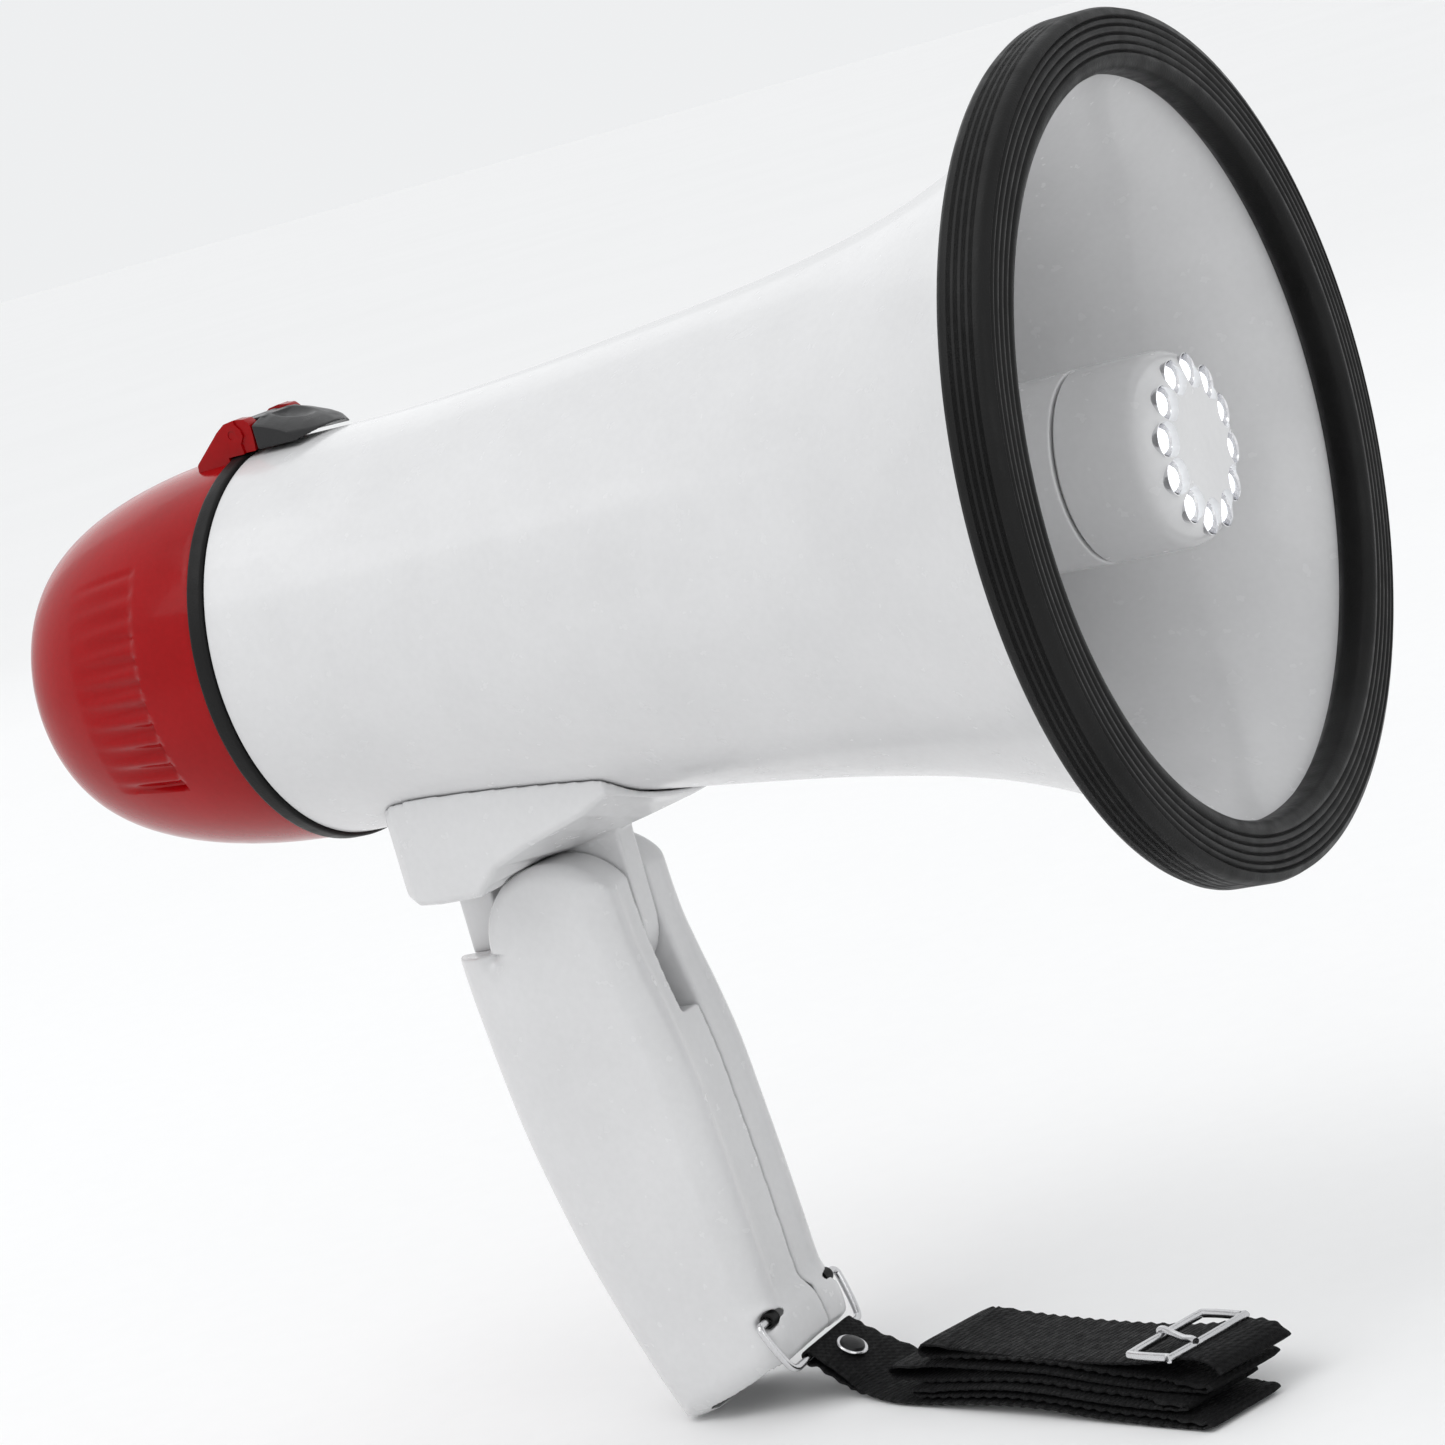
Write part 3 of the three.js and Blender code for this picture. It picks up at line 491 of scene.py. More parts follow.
def cap_shift(t, r, a):
    """Sinks the fluted finger grips into the cap's outside, fading upwards and to the rear."""
    phi = math.degrees(math.atan2(r * math.sin(a), abs(r * math.cos(a))))
    mask = (1 - step(t, -218.1, -217.3)) * step(phi, -31, -30) * (1 - step(phi, 38, 40))
    if mask <= 0 or t < -238:
        return t, r
    rear = min(max((-217.5 - t) / 18.5, 0), 1)
    fade = (1 - rear ** 1.6) * (1 - 0.7 * step(phi, -6, 34))
    ridge = (0.5 - 0.5 * math.cos(2 * PI * (phi + 30) / 6.9)) ** (0.7 + 1.2 * rear)
    return t, r - mask * fade * (0.5 + 1.25 * (1 - ridge))


def cap_line(front_r, face_r, length, count):
    out = []
    for k in range(count + 1):
        a = k * PI / (2 * count)
        out.append((CAP_FRONT - length * math.sin(a), face_r + (front_r - face_r) * math.cos(a)))
    return out


def build_cap():
    back = CAP_FRONT - CAP_LENGTH
    outside = cap_line(CAP_R, CAP_FACE_R, CAP_LENGTH, 90)
    dense = [outside[0], (-202.9, 40.28)]
    for p, q in zip(outside[1:], outside[2:]):
        n = max(1, int(math.dist(p, q) / 0.8))
        dense += [(p[0] + (q[0] - p[0]) * k / n, p[1] + (q[1] - p[1]) * k / n) for k in range(n)]
    dense.append(outside[-1])
    inside = cap_line(37.9, 21, 51.6, 30)
    profile = [(back + 0.4, 0), (back + 0.4, 18.4), (back, 19.2)] + dense[::-1]
    profile += [(-202.3, 38.4), (-203.3, 37.6), (-192.3, 37.6), (-192, 37.3), (-192, 35.6), (-206, 35.6)]
    profile += [p for p in inside[1:] if p[0] < -206.5] + [(back + 2.4, 0)]

    def shift(t, r, a):
        return cap_shift(t, r, a) if r > 28 and t < -210 and abs(r - outer_at(t)) < 0.3 else (t, r)

    def outer_at(t):
        s = min(max((CAP_FRONT - t) / CAP_LENGTH, 0), 1) ** 2
        return CAP_FACE_R + 18.3 * math.sqrt(1 - s)

    cap = lathe("cap", profile, 512, shift, smooth=40)
    place(cap, "cap_moulding", "rear_cap", RED, "red_plastic", "rear_cap")
    ear = fillet([(-210.8, 36.5), (-210.4, 40.3), (-203.6, 45.7), (-201.4, 47), (-199, 47.3), (-196.8, 47),
                  (-195.7, 45.9), (-195.5, 44.3), (-195.6, 42.6), (-196.2, 38), (-202.4, 36.5)], 1.0)
    ears = carve(prism(ear, -10, 10), ("cut", rod("y", 4.6, 12.8, LATCH_PIN)),
                 ("cut", box((-199.6, -6.4, 38), (-190, 6.4, 50))),
                 ("cut", rod("x", 41.5, 20, (-192.4, 0, 0), 256)))
    sunk = fillet([(-198.9, 50), (-198.9, 46.4), (-197.9, 45.2), (-197.6, 43.8), (-198.6, 42.4), (-198.3, 38),
                   (-190, 38), (-190, 50)], 0.5)
    for side in (-1, 1):
        low, high = sorted((side * 9.45, side * 12))
        carve(ears, ("cut", prism(sunk, low, high)), ("cut", rod("y", 0.9, 0.36, (-200.2, side * 10, 44.5))))
    bevel(ears, 0.45, 3, 40)
    shade(ears, 40)
    place(ears, "cap_ears", "rear_cap", RED, "red_plastic")
    grille = fillet([(back - 1.6, 0), (back - 1.6, 6.4), (back - 1.7, 8), (back + 0.3, 8), (back + 0.3, 0)],
                    0.5, False)
    disc = lathe("grille", grille, 96, at=(0, 0, 8.5))
    for y in (-4.2, -2.1, 0, 2.1, 4.2):
        half = math.sqrt(36 - y * y) - 0.8
        low, high = 8.5 - half, 8.5 + half
        slot = fillet([(y - 0.45, low), (y + 0.45, low), (y + 0.45, high), (y - 0.45, high)], 0.4)
        carve(disc, ("cut", prism(slot, back - 3, back - 0.6, "x")))
    place(disc, "grille_disc", "rear_cap", BLACK, "black_plastic", "mic_grille")

    def flutes(t, r, a):
        return (t, r - 0.28 * (0.5 + 0.5 * math.cos(20 * a)) * step(r, 5, 6.5))

    wheel = fillet([(back - 0.3, 0), (back - 0.3, 6.9), (back - 5.6, 6.5), (back - 6.5, 5.4),
                    (back - 6.5, 0)], 0.5, False)
    knob = lathe("knob", wheel, 160, flutes, at=(0, 0, -9.5))
    carve(knob, ("cut", box((back - 8, -0.35, -7.4), (back - 6.1, 0.35, -3.6))))
    shade(knob, 40)
    place(knob, "knob_cap", "volume_knob", BLACK, "black_plastic", "volume_knob")


def build_latch():
    side = [(-195, 36), (-180.4, 36), (-180.0, 40.6), (-182.5, 42.6), (-185.5, 44.3), (-188.8, 45.8),
            (-192.5, 46.8), (-195, 47.2)]
    dome = fillet([(36, 16.4), (38, 16.2), (39.6, 15.7), (41.2, 14.8), (43.6, 13.3), (46, 11.7), (48, 10),
                   (49, 0)], 3, False, least=5)
    dome = lathe("tool", [(36, 0)] + dome, 96, axis="z", at=(-197, 0, 0))
    paddle = carve(prism(side, -9.8, 9.8), ("common", dome))
    crown = fillet([(-199, 30.2), (-195, 30.1), (-192.5, 29.5), (-188.8, 28.2), (-185.5, 26.6),
                    (-182.5, 24.8), (-180, 23), (-178, 20)], 2, False, least=5)
    crown = lathe("tool", [(-199, 0)] + crown + [(-178, 0)], 200, at=(0, 0, 17))
    carve(paddle, ("common", crown))
    dish = lathe("tool", [(12 * math.sin(a), 12 * math.cos(a)) for a in np.linspace(-PI / 2, PI / 2, 33)], 64,
                 axis="z", at=(-188, 0, 56.2))
    carve(paddle, ("cut", dish), ("join", rod("y", 2.5, 12, LATCH_PIN)),
          ("join", box((-199.6, -6, 41.8), (-194, 6, 46.6))), ("cut", rod("y", 1.46, 30, LATCH_PIN)),
          ("cut", rod("x", 41.55, 60, (-190, 0, 0), 256)), ("cut", horn_core(0.35)))
    soften(paddle, 0.25, 6, 0.5)
    place(paddle, "latch_paddle", "latch_lever", BLACK, "black_plastic", "latch_lever")


# ---- Saddle ---------------------------------------------------------------------
# Sections from the rear: x, half width, lowest z at the sides and in the middle.
SADDLE = [(-186.6, 10, -32, -32), (-185.6, 15, -40, -40), (-184.2, 19, -49, -49.4),
          (-182, 22.2, -52.4, -53), (-179, 24.2, -53.8, -54.3), (-174, 25, -54, -54.4),
          (-164, 25, -54, -54.2), (-162, 25, -52.2, -53.5),
          (-158, 25, -48.7, -52.8), (-150, 25, -45.8, -51.1), (-142.6, 25, -43.7, -49.5),
          (-136, 25, -41.8, -48.2), (-129, 25, -38.8, -46.6), (-127.6, 22.5, -39.6, -46.3),
          (-126.6, 15, -42.4, -46), (-124.5, 10.5, -43.6, -45.6), (-122.5, 7, -44, -45),
          (-120.6, 3, -44.1, -44.4)]


def loft(name, rings):
    """Rings of equal size joined into a closed body with flat ends."""
    n = len(rings[0])
    faces = [tuple(range(n)), tuple(range(len(rings) * n - 1, (len(rings) - 1) * n - 1, -1))]
    for k in range(len(rings) - 1):
        low, high = k * n, (k + 1) * n
        faces += [(low + i, low + (i + 1) % n, high + (i + 1) % n, high + i) for i in range(n)]
    return make(name, [p for ring in rings for p in ring], faces)


def pivot_arc(r, start, end, count):
    """Points in X and Z on an arc about the handle's pivot."""
    return [(PIVOT[0] + r * math.cos(a), PIVOT[2] + r * math.sin(a)) for a in np.linspace(start, end, count)]


def saddle_body():
    rings = []
    for x, half, low, middle in SADDLE:
        near = [(half, -28), (half, low + 1), (half - 1, low), (2.5, middle)]
        rings.append([(x, y, z) for y, z in near + [(-y, z) for y, z in reversed(near)]])
    return loft("saddle", rings)


def build_saddle():
    tip = pivot_arc(13.6, -2.5, 0, 30)
    tongue = [(-174.2, -50), (-174.2, -68), (-171.2, -72.5)] + tip + [(-142.7, -40)]
    body = carve(saddle_body(), ("cut", rod("y", 16.5, 12.2, (PIVOT[0], -9.2, PIVOT[2]), 160)),
                 ("cut", rod("y", 16.5, 12.2, (PIVOT[0], 9.2, PIVOT[2]), 160)),
                 ("join", prism(tongue, -3, 3)), ("join", box((-181.5, -7, -68.5), (-173.3, 7, -50))),
                 ("cut", horn_core()), ("cut", box((-190, -6.6, -47.8), (-166, 6.6, -40.7))),
                 ("cut", box((-176, 21.5, -44.5), (-160, 30, -39.5))),
                 ("cut", rod("y", 3.06, 20, PIVOT)))
    soften(body, 0.4, 8, 0.6)
    place(body, "saddle_moulding", "horn", SHELL, "white_shell", "saddle")
    tab = fillet([(-193.4, -47.4), (-187.9, -47.4), (-176.4, -47.4), (-176.4, -41.1), (-188, -41.1),
                  (-193.4, -41.6)], 0.6)
    button = bevel(prism(tab, -6.1, 6.1), 0.6, 3, 40)
    place(button, "talk_tab", "talk_button", RED, "red_plastic", "talk_button")
    shade(button, 40)
    nub = carve(box((-171, 21.8, -43.9), (-165, 24.6, -40.1)),
                ("join", box((-169.5, 24.2, -43), (-166.5, 26.6, -41))))
    for x in (-168.9, -168, -167.1):
        carve(nub, ("cut", box((x - 0.15, 26.3, -44), (x + 0.15, 27, -40))))
    bevel(nub, 0.2, 2, 40)
    place(nub, "mode_nub", "mode_switch", BLACK, "black_plastic", "mode_switch")


# ---- Handle ---------------------------------------------------------------------
# Back and front of the handle on its middle plane, in X and Z.
BACK = [(-185.5, -66), (-185, -80), (-182.6, -105), (-177.8, -128), (-172.6, -145), (-167.5, -159),
        (-162.5, -169.5)]
FRONT = [(-142.6, -50), (-142.6, -60), (-142, -70), (-140.6, -78), (-138.7, -87), (-136.9, -98),
         (-135.9, -110), (-135.1, -121), (-134.4, -133), (-133.9, -143), (-133.5, -147), (-132, -151),
         (-131.2, -155.5),
         (-131.4, -162), (-132, -169.5)]
# How far behind the front the section is at each half width, beside the strip and at the toe.
STRIP_EDGE = [(0.9, 0), (0.85, 5), (0.6, 7.8), (0.05, 9.6), (0.5, 11.3), (2.2, 13), (5.5, 14.7), (9, 15)]
TOE_EDGE = [(-0.8, 0), (-0.4, 5), (0, 7.8), (0.2, 9.8), (0.5, 11.6), (1.2, 13.2), (2.6, 14.5), (5, 15)]


def across(line, z):
    """Where a side line is at a height."""
    pts = spline(line, 160)
    if z >= pts[0].y:
        return pts[0].x
    for a, b in zip(pts, pts[1:]):
        if a.y >= z >= b.y:
            return a.x + (b.x - a.x) * (a.y - z) / max(a.y - b.y, 1e-9)
    return pts[-1].x


def handle_ring(back, front, half, z):
    """A level section, with the sunk strip down the front and the fuller toe below it."""
    depth = front - back
    toe = step(-z, 146, 149.5)
    top = 1 - step(-z, 72, 84)
    edge = []
    for (d0, y0), (d1, y1) in zip(STRIP_EDGE, TOE_EDGE):
        d0 = d0 * (1 - top) + min(d0, 0.4) * top if y0 < 8 else d0
        edge.append((front - d0 - (d1 - d0) * toe, (y0 + (y1 - y0) * toe) * half / 15))
    side = edge + [(back + 0.34 * depth, half), (back + 0.2 * depth, 0.95 * half),
                   (back + 0.1 * depth, 0.8 * half), (back + 0.04 * depth, 0.58 * half), (back, 0.22 * half)]
    loop = side + [(x, -y) for x, y in reversed(side[1:])]
    n = len(loop)
    out = []
    for i in range(n):
        p0, p1, p2, p3 = (Vector(loop[(i + k) % n]) for k in (-1, 0, 1, 2))
        for w in (0, 0.25, 0.5, 0.75):
            v0, v1 = (p2 - p0) / 2, (p3 - p1) / 2
            q = (p1 * (2 * w**3 - 3 * w * w + 1) + p2 * (3 * w * w - 2 * w**3)
                 + v0 * (w**3 - 2 * w * w + w) + v1 * (w**3 - w * w))
            out.append((q.x, q.y, z))
    return out


def handle_loft(shrink):
    rings = []
    for k in range(81):
        z = -50 - k * (119.5 - shrink) / 80
        rings.append(handle_ring(across(BACK, z) + shrink, across(FRONT, z) - shrink, 15 - shrink, z))
    return loft("handle", rings)


def bezier(a, c, b, count=8):
    a, c, b = Vector(a), Vector(c), Vector(b)
    steps = np.linspace(0, 1, count + 1)[1:]
    return [tuple(a * (1 - t) ** 2 + c * 2 * t * (1 - t) + b * t * t) for t in steps]


def cheek_outline():
    arc = pivot_arc(CHEEK_R, PI, 0, 60)
    front = [(-138, -72), (-134, -80), (-120, -90), (-120, -155), (-129, -155.8)]
    pts = [(-200, -68), (-174, -68)] + arc + front
    pts += bezier((-129, -155.8), (-135, -161.2), (-143.2, -164.3))
    pts += bezier((-143.2, -164.3), (-150.5, -167.4), (-157, -168.7))
    return pts + bezier((-157, -168.7), (-163.2, -169.9), (-165.8, -163)) + [(-168.5, -157), (-200, -120)]


def edge_distance(points, outline):
    """How far each point lies from the nearest part of an open line."""
    best = np.full(len(points), 1e9)
    for a, b in zip(outline[:-1], outline[1:]):
        a, b = np.array(a), np.array(b)
        d = b - a
        t = np.clip(((points - a) @ d) / max(d @ d, 1e-12), 0, 1)
        best = np.minimum(best, np.linalg.norm(points - a - t[:, None] * d, axis=1))
    return best


def round_over(obj):
    """Rolls the flat sides over into the cheek's round edge and the butt."""
    mesh = obj.data
    co = np.empty(len(mesh.vertices) * 3)
    mesh.vertices.foreach_get("co", co)
    co = co.reshape(-1, 3) * 1000 + np.array(GRIP)
    x, z = co[:, 0], co[:, 2]
    arc = pivot_arc(CHEEK_R, PI, 0.05, 60)
    butt = [p for p in cheek_outline() if p[1] < -154 and p[0] > -170]
    flat = np.stack([x, z], 1)
    turn = np.arctan2(z - PIVOT[2], x - PIVOT[0])
    r_top = 2.2 + 4.2 * np.clip(1 - turn / 2.2, 0, 1)
    r_top = np.where(turn < -0.5, 6.4, r_top)
    limit = np.full(len(co), 15.0)
    for line, radius in ((arc, r_top), (butt, np.full(len(co), 6.0))):
        d = np.clip(edge_distance(flat, line), 0, radius)
        drop = radius - np.sqrt(np.maximum(radius**2 - (radius - d) ** 2, 0))
        limit = np.minimum(limit, 15 - drop * 0.75)
    co[:, 1] = np.clip(co[:, 1], -limit, limit)
    mesh.vertices.foreach_set("co", ((co - np.array(GRIP)) / 1000).ravel())
    mesh.update()


def build_handle():
    bosses = [(-171, -98), (-158, -150)]
    for side, name, node in ((-1, "handle_near", "handle_near_shell"), (1, "handle_far", "handle_far_shell")):
        hollow = carve(handle_loft(2.2), ("common", box((-200, -30, -180), (-110, 30, -90))))
        for x, z in bosses:
            carve(hollow, ("cut", rod("y", 4, 26, (x, 0, z))))
        low, high = (-40, 2.9) if side < 0 else (3.2, 40)
        clip = box((-210, low, -200), (-100, high, -40))
        shell = carve(handle_loft(0), ("common", prism(cheek_outline(), -30, 30)),
                      ("cut", box((-200, -3.4, -88), (-120, 3.4, -40))),
                      ("cut", box((-190, -7.6, -69.3), (-169.6, 7.6, -40))),
                      ("cut", hollow), ("common", clip), ("cut", rod("y", 3.06, 22.6, PIVOT)),
                      ("cut", rod("y", 1.85, 60, LOOP_HOLE)))
        for x, z in bosses:
            carve(shell, ("cut", rod("y", 1.5, 16, (x, 4, z))), ("cut", rod("y", 3.2, 6, (x, 14, z))))
        soften(shell, 0.42, 6, 1.0)
        round_over(shell)
        soften(shell, 0.42, 4, 0.45)
        place(shell, name, "handle", SHELL, "white_shell", node)
    for k, (x, z) in enumerate(bosses):
        dome = [(2.6, 0), (2.6, 1.2), (2.2, 2.2), (1.4, 2.8), (0.6, 2.8), (0.6, 1.2), (-14.5, 1.2), (-15, 0)]
        screw = lathe("screw", dome, 48, axis="y", at=(x, 11.4, z))
        carve(screw, ("cut", box((x - 1.7, 12.9, z - 0.32), (x + 1.7, 15, z + 0.32))),
              ("cut", box((x - 0.32, 12.9, z - 1.7), (x + 0.32, 15, z + 1.7))))
        shade(screw, 40)
        place(screw, f"screw_head_{k + 1}", "handle", STEEL, "bright_steel", f"handle_screw_{k + 1}")
    for side, node in ((-1, "grommet_near"), (1, "grommet_far")):
        flare = fillet([(-1.4, 1.1), (-1.4, 1.55), (1.4, 1.55), (1.4, 1.1)], 0.15)
        flare = [(side * t, r) for t, r in flare]
        sleeve = lathe("grommet", flare, 64, axis="y", at=(LOOP_HOLE[0], side * 11.7, LOOP_HOLE[2]))
        place(sleeve, node + "_ring", "handle", RUBBER, "black_rubber", node)


# ---- Wire loop ------------------------------------------------------------------
def tube(name, points, r, sides=20):
    """A round wire along points, with ends closed."""
    pts = [Vector(p) for p in points]
    up = Vector((1, 0, 0))
    verts, faces = [], []
    for i, p in enumerate(pts):
        d = (pts[min(i + 1, len(pts) - 1)] - pts[max(i - 1, 0)]).normalized()
        a = up.cross(d).normalized()
        b = d.cross(a)
        turns = [2 * PI * k / sides for k in range(sides)]
        verts += [p + (a * math.cos(t) + b * math.sin(t)) * r for t in turns]
    for i in range(len(pts) - 1):
        low, high = i * sides, (i + 1) * sides
        faces += [(low + k, low + (k + 1) % sides, high + (k + 1) % sides, high + k) for k in range(sides)]
    faces += [tuple(range(sides)), tuple(range(len(verts) - 1, len(verts) - sides - 1, -1))]
    return make(name, verts, faces, 50)


def build_loop():
    x, _, z = LOOP_HOLE
    half = [(x, 10.5, z), (x, 14.6, z), (x, 15.6, z - 0.1), (x + 0.2, 16.25, z - 0.6),
            (x + 0.6, 16.4, z - 1.6), (x + 1.8, 15.9, z - 4.8), (x + 3.1, 15.0, z - 8.2),
            (x + 3.65, 14.2, z - 9.6), (x + 3.9, 12.9, z - 10.1), (x + 3.9, 11, z - 10.1),
            (x + 3.9, 6, z - 10.1)]
    route = half + [(a, -b, c) for a, b, c in reversed(half)]
    curve = spline([Vector(p) for p in route], 160)
    place(tube("wire", curve, 0.78), "wire_hoop", "wire_loop", STEEL, "bright_steel", "wire_loop")


# ---- Strap ----------------------------------------------------------------------
FLOOR = -169.5
STACK_TURN = math.radians(-20.8)
STACK_AT = Vector((-130.5, 7.9))
WEB_WIDTH = 19.0
WEB_THICK = 0.85


def stack_point(u, v, w):
    """A point in the stack: u along it, v across it, w above the floor."""
    c, s = math.cos(STACK_TURN), math.sin(STACK_TURN)
    return (STACK_AT.x + u * c - v * s, STACK_AT.y + u * s + v * c, FLOOR + w)


def hump(u):
    return 1.6 * math.exp(-(((u - 62) / 20) ** 2))


def strap_route():
    """The middle line of the webbing and its width direction, from the loop to the last end."""
    bar = Vector(BAR)
    lead = [((-118.5, 0.6, FLOOR + 0.6), 0), ((-122.5, 1.2, -167.6), 0), ((-126.8, 1.2, -164.4), 0),
            ((-129.2, 1.2, -162.2), 0)]
    for a in (-100, -150, -200, -250, -290):
        t = math.radians(a)
        lead.append(((bar.x + 1.3 * math.cos(t), bar.y, bar.z + 1.3 * math.sin(t)), 0))
    lead += [((-128.2, 1.2, -160.9), 0), ((-124.6, 1.3, -163.7), -4), ((-119.3, 0.7, -167.0), -16),
             ((-113, -2.2, FLOOR + 0.9), -26), ((-106, -5.8, FLOOR + 0.6), -24)]
    points = [(Vector(p), math.radians(90 + turn)) for p, turn in lead]
    normal = STACK_TURN + PI / 2

    def put(u, v, w, turn=0):
        points.append((Vector(stack_point(u, v, w)), normal + math.radians(turn)))

    layers = [  # right or left fold, its place along, height below and above, side shift
        ("right", 114.0, 0.5, 1.6, -4.0), ("left", 31.0, 1.6, 2.9, -3.0), ("right", 107.5, 3.0, 4.0, -2.4),
        ("left", 22.5, 3.7, 6.4, -0.5), ("right", 111.0, 5.3, 6.4, 1.0), ("left", 29.5, 7.4, 10.0, 2.6)]
    for k, (end, u, low, high, v) in enumerate(layers):
        mid = (low + high) / 2
        sign = 1 if end == "right" else -1
        if k % 2 == 0:
            start = 36 if k == 0 else layers[k - 1][1] + 12
            for t in (0, 0.25, 0.5, 0.75, 1.0):
                s = start + (u - 14 - start) * t
                base = layers[k - 1][3] if k else low
                level = base + (low - base) * t
                settled = min(level, low * 0.96 + (level - low) * (1 - t) ** 2)
                put(s, v, settled + hump(s))
        else:
            start = layers[k - 1][1] - 12
            for t in (0, 0.25, 0.5, 0.75, 1.0):
                s = start + (u + 13 - start) * t
                base = layers[k - 1][3]
                put(s, v, base + (low - base) * t ** 3 + hump(s))
        put(u - sign * 5, v, low + (0.2 if end == "left" else 0))
        put(u - sign * 1.2, v, low + 0.1 * (high - low))
        put(u, v, mid)
        put(u - sign * 1.2, v, high - 0.1 * (high - low))
        put(u - sign * 5, v, high)
    top = ((40, 9.2), (52, 8.6), (66, 8.3), (80, 8.4), (92, 9.0), (101, 10.3), (106.5, 10.6), (110.5, 9.6),
           (112.2, 7.8))
    for u, w in top:
        put(u, 3.4, w)
    return points


def ribbon(name, route, width, thick, cells=12):
    """Webbing along a route, with wavy edges, its ends closed, and its real size in the UVs."""
    centres = spline([p for p, _ in route], 9 * len(route))
    turns = spline([Vector((t, 0)) for _, t in route], 9 * len(route))
    even, angle, along, total = [centres[0]], [turns[0].x], [0.0], 0.0
    for i in range(1, len(centres)):
        gap = (centres[i] - centres[i - 1]).length
        n = max(1, round(gap / 0.7))
        for k in range(1, n + 1):
            t = k / n
            even.append(centres[i - 1].lerp(centres[i], t))
            angle.append(turns[i - 1].x + (turns[i].x - turns[i - 1].x) * t)
            along.append(total + gap * t)
        total += gap
    verts, uvs, faces = [], [], []
    row = 2 * (cells + 1)
    for i, p in enumerate(even):
        d = (even[min(i + 1, len(even) - 1)] - even[max(i - 1, 0)]).normalized()
        side = Vector((math.cos(angle[i]), math.sin(angle[i]), 0))
        side = (side - d * side.dot(d)).normalized()
        up = d.cross(side)
        wave = math.sin(2 * PI * along[i] / 3.4)
        for face in (1, -1):
            for k in range(cells + 1):
                s = k / cells if face > 0 else 1 - k / cells
                rim = abs(2 * s - 1) ** 12
                out = (s - 0.5) * (width + 0.1 * wave * rim * 2)
                lift = face * thick / 2 * (1 - 0.45 * rim) + 0.14 * rim * wave
                verts.append(p + side * out + up * lift)
                uvs.append((s * width / 1000, along[i] / 1000))
    for i in range(len(even) - 1):
        for k in range(row):
            n = (k + 1) % row
            faces.append((i * row + k, i * row + n, (i + 1) * row + n, (i + 1) * row + k))
    last = (len(even) - 1) * row
    for k in range(cells):
        faces.append((k + 1, k, row - 1 - k, row - 2 - k))
        faces.append((last + k, last + k + 1, last + row - 2 - k, last + row - 1 - k))
    mesh = bpy.data.meshes.new(name)
    mesh.from_pydata([metres(v) for v in verts], [], faces)
    layer = mesh.uv_layers.new(name="UVMap")
    for loop in mesh.loops:
        layer.data[loop.index].uv = uvs[loop.vertex_index]
    obj = bpy.data.objects.new(name, mesh)
    bpy.context.scene.collection.objects.link(obj)
    bm = bmesh.new()
    bm.from_mesh(mesh)
    bmesh.ops.recalc_face_normals(bm, faces=bm.faces)
    bm.to_mesh(mesh)
    bm.free()
    shade(obj, 60)
    return obj, total / 1000


def build_strap():
    strap, length = ribbon("strap_webbing", strap_route(), WEB_WIDTH, WEB_THICK)
    place(strap, "strap_webbing", None, WEB, "black_webbing", "strap_lead", "strap_bundle")
    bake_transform(strap)
    head = fillet([(0, 0), (0, 3.1), (0.4, 3.4), (0.8, 3.1), (0.7, 2.6), (0.7, 0)], 0.2, False)
    rivet = lathe("rivet", head, 64, axis="z", at=(0, 0, 0))
    rivet.data.transform(Matrix.Translation(-metres((0, 0, 0))))
    tilt = Matrix.Rotation(math.radians(32), 4, "Y")
    rivet.data.transform(Matrix.Translation(metres(RIVET)) @ tilt)
    place(rivet, "strap_rivet", "wrist_strap", STEEL, "bright_steel")
    core = lathe("core", [(0.75, 0), (0.75, 2.6), (1.2, 2.4), (1.7, 1.5), (1.9, 0)], 48, axis="z")
    core.data.transform(Matrix.Translation(-metres((0, 0, 0))))
    core.data.transform(Matrix.Translation(metres(RIVET)) @ tilt)
    place(core, "strap_rivet_core", "wrist_strap", BLACK, "black_plastic")
    hub = Vector(stack_point(96.5, 2.4, 11.2))
    c, s = math.cos(STACK_TURN), math.sin(STACK_TURN)

    def local(u, v, w):
        return (hub.x + u * c - v * s, hub.y + u * s + v * c, hub.z + w)

    corners = [(-5.6, 0), (-5.6, 8.6), (-4.4, 10), (4.2, 10), (5.6, 8.6), (5.6, -8.6), (4.2, -10),
               (-4.4, -10), (-5.6, -8.6), (-5.6, 0)]
    line = spline([Vector(local(u, v, 0.1 + 0.1 * v / 10)) for u, v in corners], 120)
    place(tube("frame", line, 0.85), "buckle_hoop", "wrist_strap", STEEL, "bright_steel", "buckle_frame")
    pin = [local(-6.6, -0.6, -0.3), local(-6.4, -0.6, 0.9), local(-5.2, -0.6, 1.3), local(-2, -1.4, 0.9),
           local(2, -2.6, 0.7), local(5, -3.6, 1.1), local(6.6, -4.1, 0.9)]
    wire = tube("pin", spline([Vector(p) for p in pin], 40), 0.7)
    place(wire, "buckle_pin", "wrist_strap", STEEL, "bright_steel", "buckle_tongue")


build_horn()
build_light()
build_cap()
build_latch()
build_saddle()
build_handle()
build_loop()
build_strap()


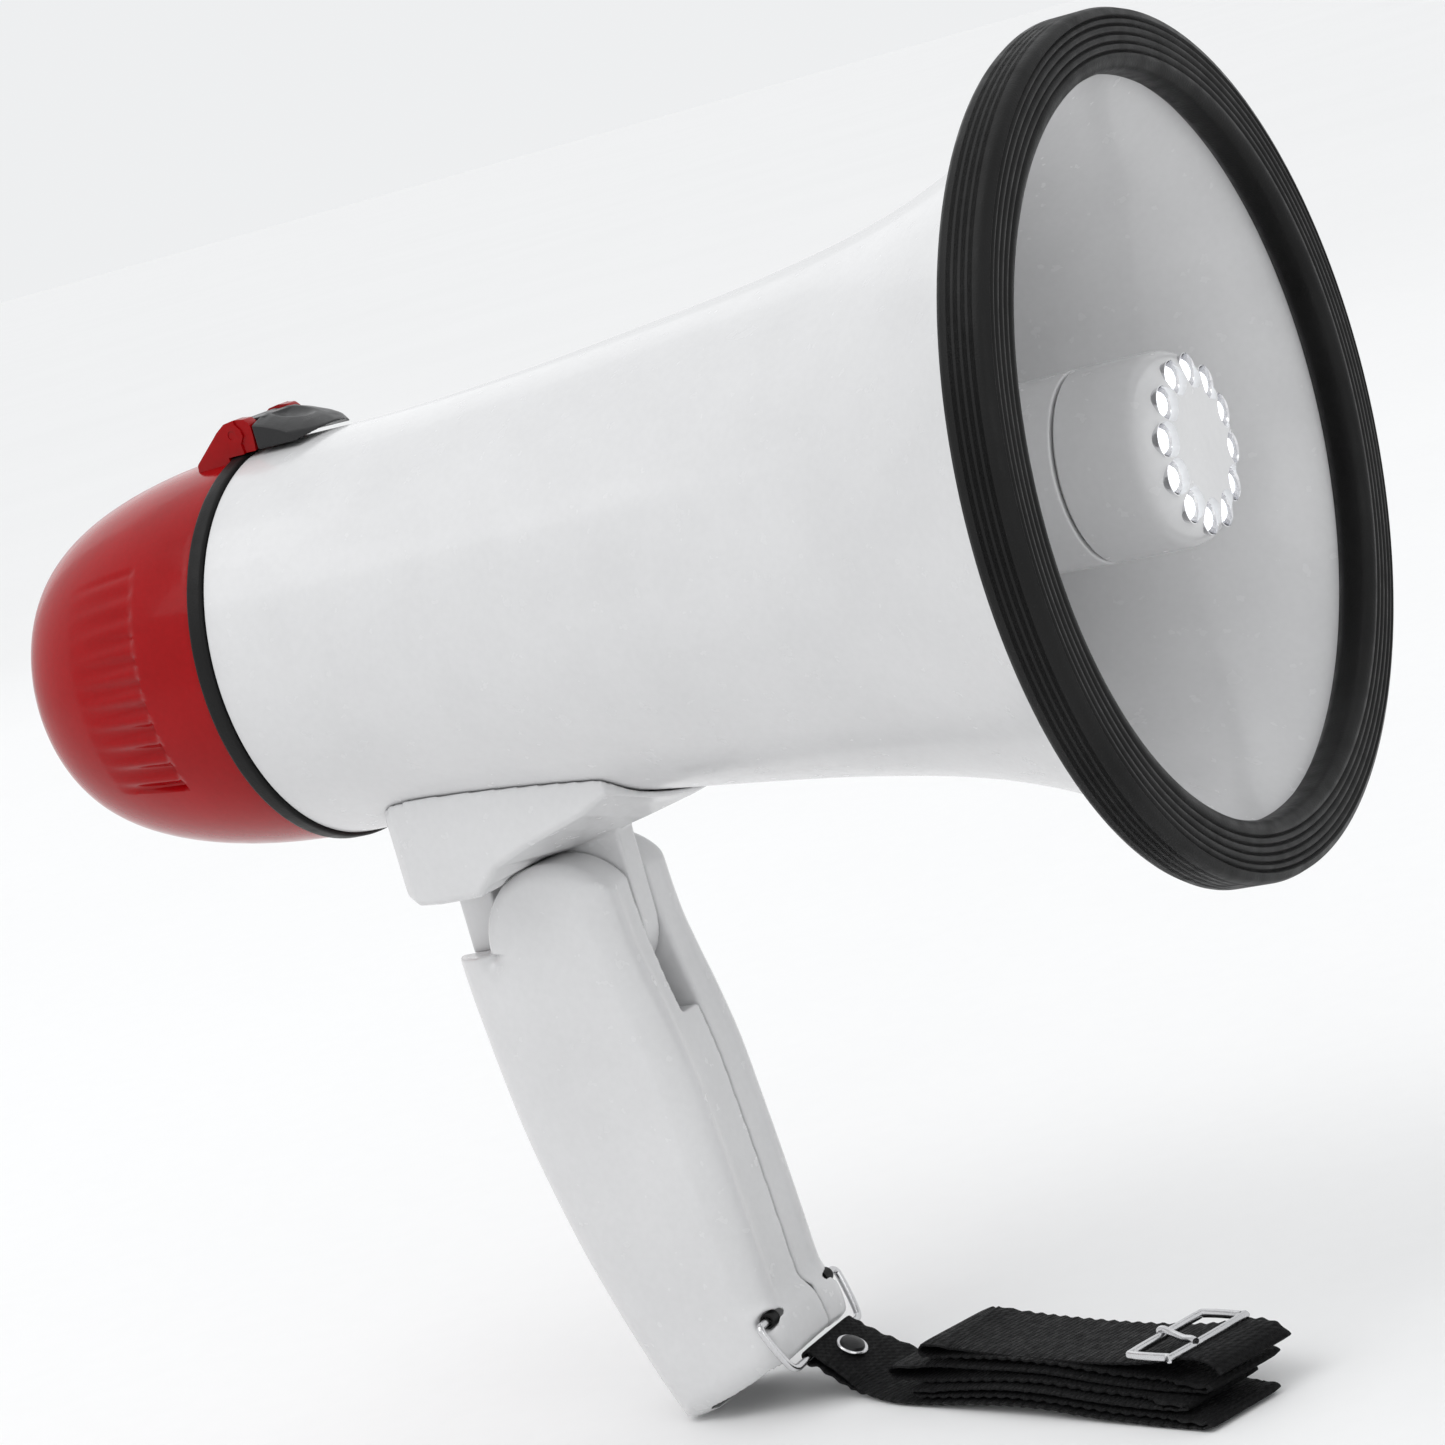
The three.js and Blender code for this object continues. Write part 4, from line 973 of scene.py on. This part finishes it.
# ---- Floor, light and camera ------------------------------------------------------
def build_stage():
    mesh = bpy.data.meshes.new("floor")
    low = metres((0, 0, FLOOR - 0.25)).z
    mesh.from_pydata([(-30, -30, low), (30, -30, low), (30, 30, low), (-30, 30, low)], [], [(0, 1, 2, 3)])
    floor = bpy.data.objects.new("floor", mesh)
    bpy.context.scene.collection.objects.link(floor)
    paint = moulded("floor_paint", (0.84, 0.84, 0.84), (0.86, 0.86, 0.86), (0.6, 0.7), 0.00002, 90, patch=2)
    floor.data.materials.append(paint)
    lights = [("key", (-0.9, -1.3, 1.7), 1.3, 5), ("fill", (1.9, -1.1, 0.9), 1.2, 4),
              ("top", (0.1, 0.5, 2.1), 1.6, 2.5), ("back", (-1.4, 1.2, 0.9), 1.0, 1)]
    for name, at, size, power in lights:
        light = bpy.data.lights.new(name, "AREA")
        light.size = size
        light.energy = power
        obj = bpy.data.objects.new(name, light)
        obj.location = at
        obj.rotation_euler = (Vector(at) - Vector((0.02, 0, 0.06))).to_track_quat("Z", "Y").to_euler()
        bpy.context.scene.collection.objects.link(obj)
    sun = bpy.data.lights.new("sky", "SUN")
    sun.energy = 0.6
    sun.angle = math.radians(50)
    obj = bpy.data.objects.new("sky", sun)
    obj.rotation_euler = (math.radians(18), math.radians(-14), 0)
    bpy.context.scene.collection.objects.link(obj)
    world = bpy.data.worlds.new("studio")
    world.use_nodes = True
    ground = world.node_tree.nodes["Background"]
    ground.inputs[0].default_value = (0.93, 0.94, 0.95, 1)
    ground.inputs[1].default_value = 0.92
    bpy.context.scene.world = world
    bpy.context.scene.view_settings.view_transform = "Standard"


def build_camera():
    data = bpy.data.cameras.new("camera")
    data.lens = 4500 * 36 / 1445
    data.sensor_width = 36
    data.clip_end = 100
    camera = bpy.data.objects.new("camera", data)
    right = Vector((0.8387, 0.4713, -0.2729))
    up = Vector((0.1645, 0.2584, 0.9519))
    back = Vector((0.5192, -0.8432, 0.1392))
    turn = Matrix((right, up, back)).transposed().to_4x4()
    camera.matrix_world = Matrix.Translation(metres((338.1, -734.9, 88.2))) @ turn
    bpy.context.scene.collection.objects.link(camera)
    bpy.context.scene.camera = camera


build_stage()
build_camera()
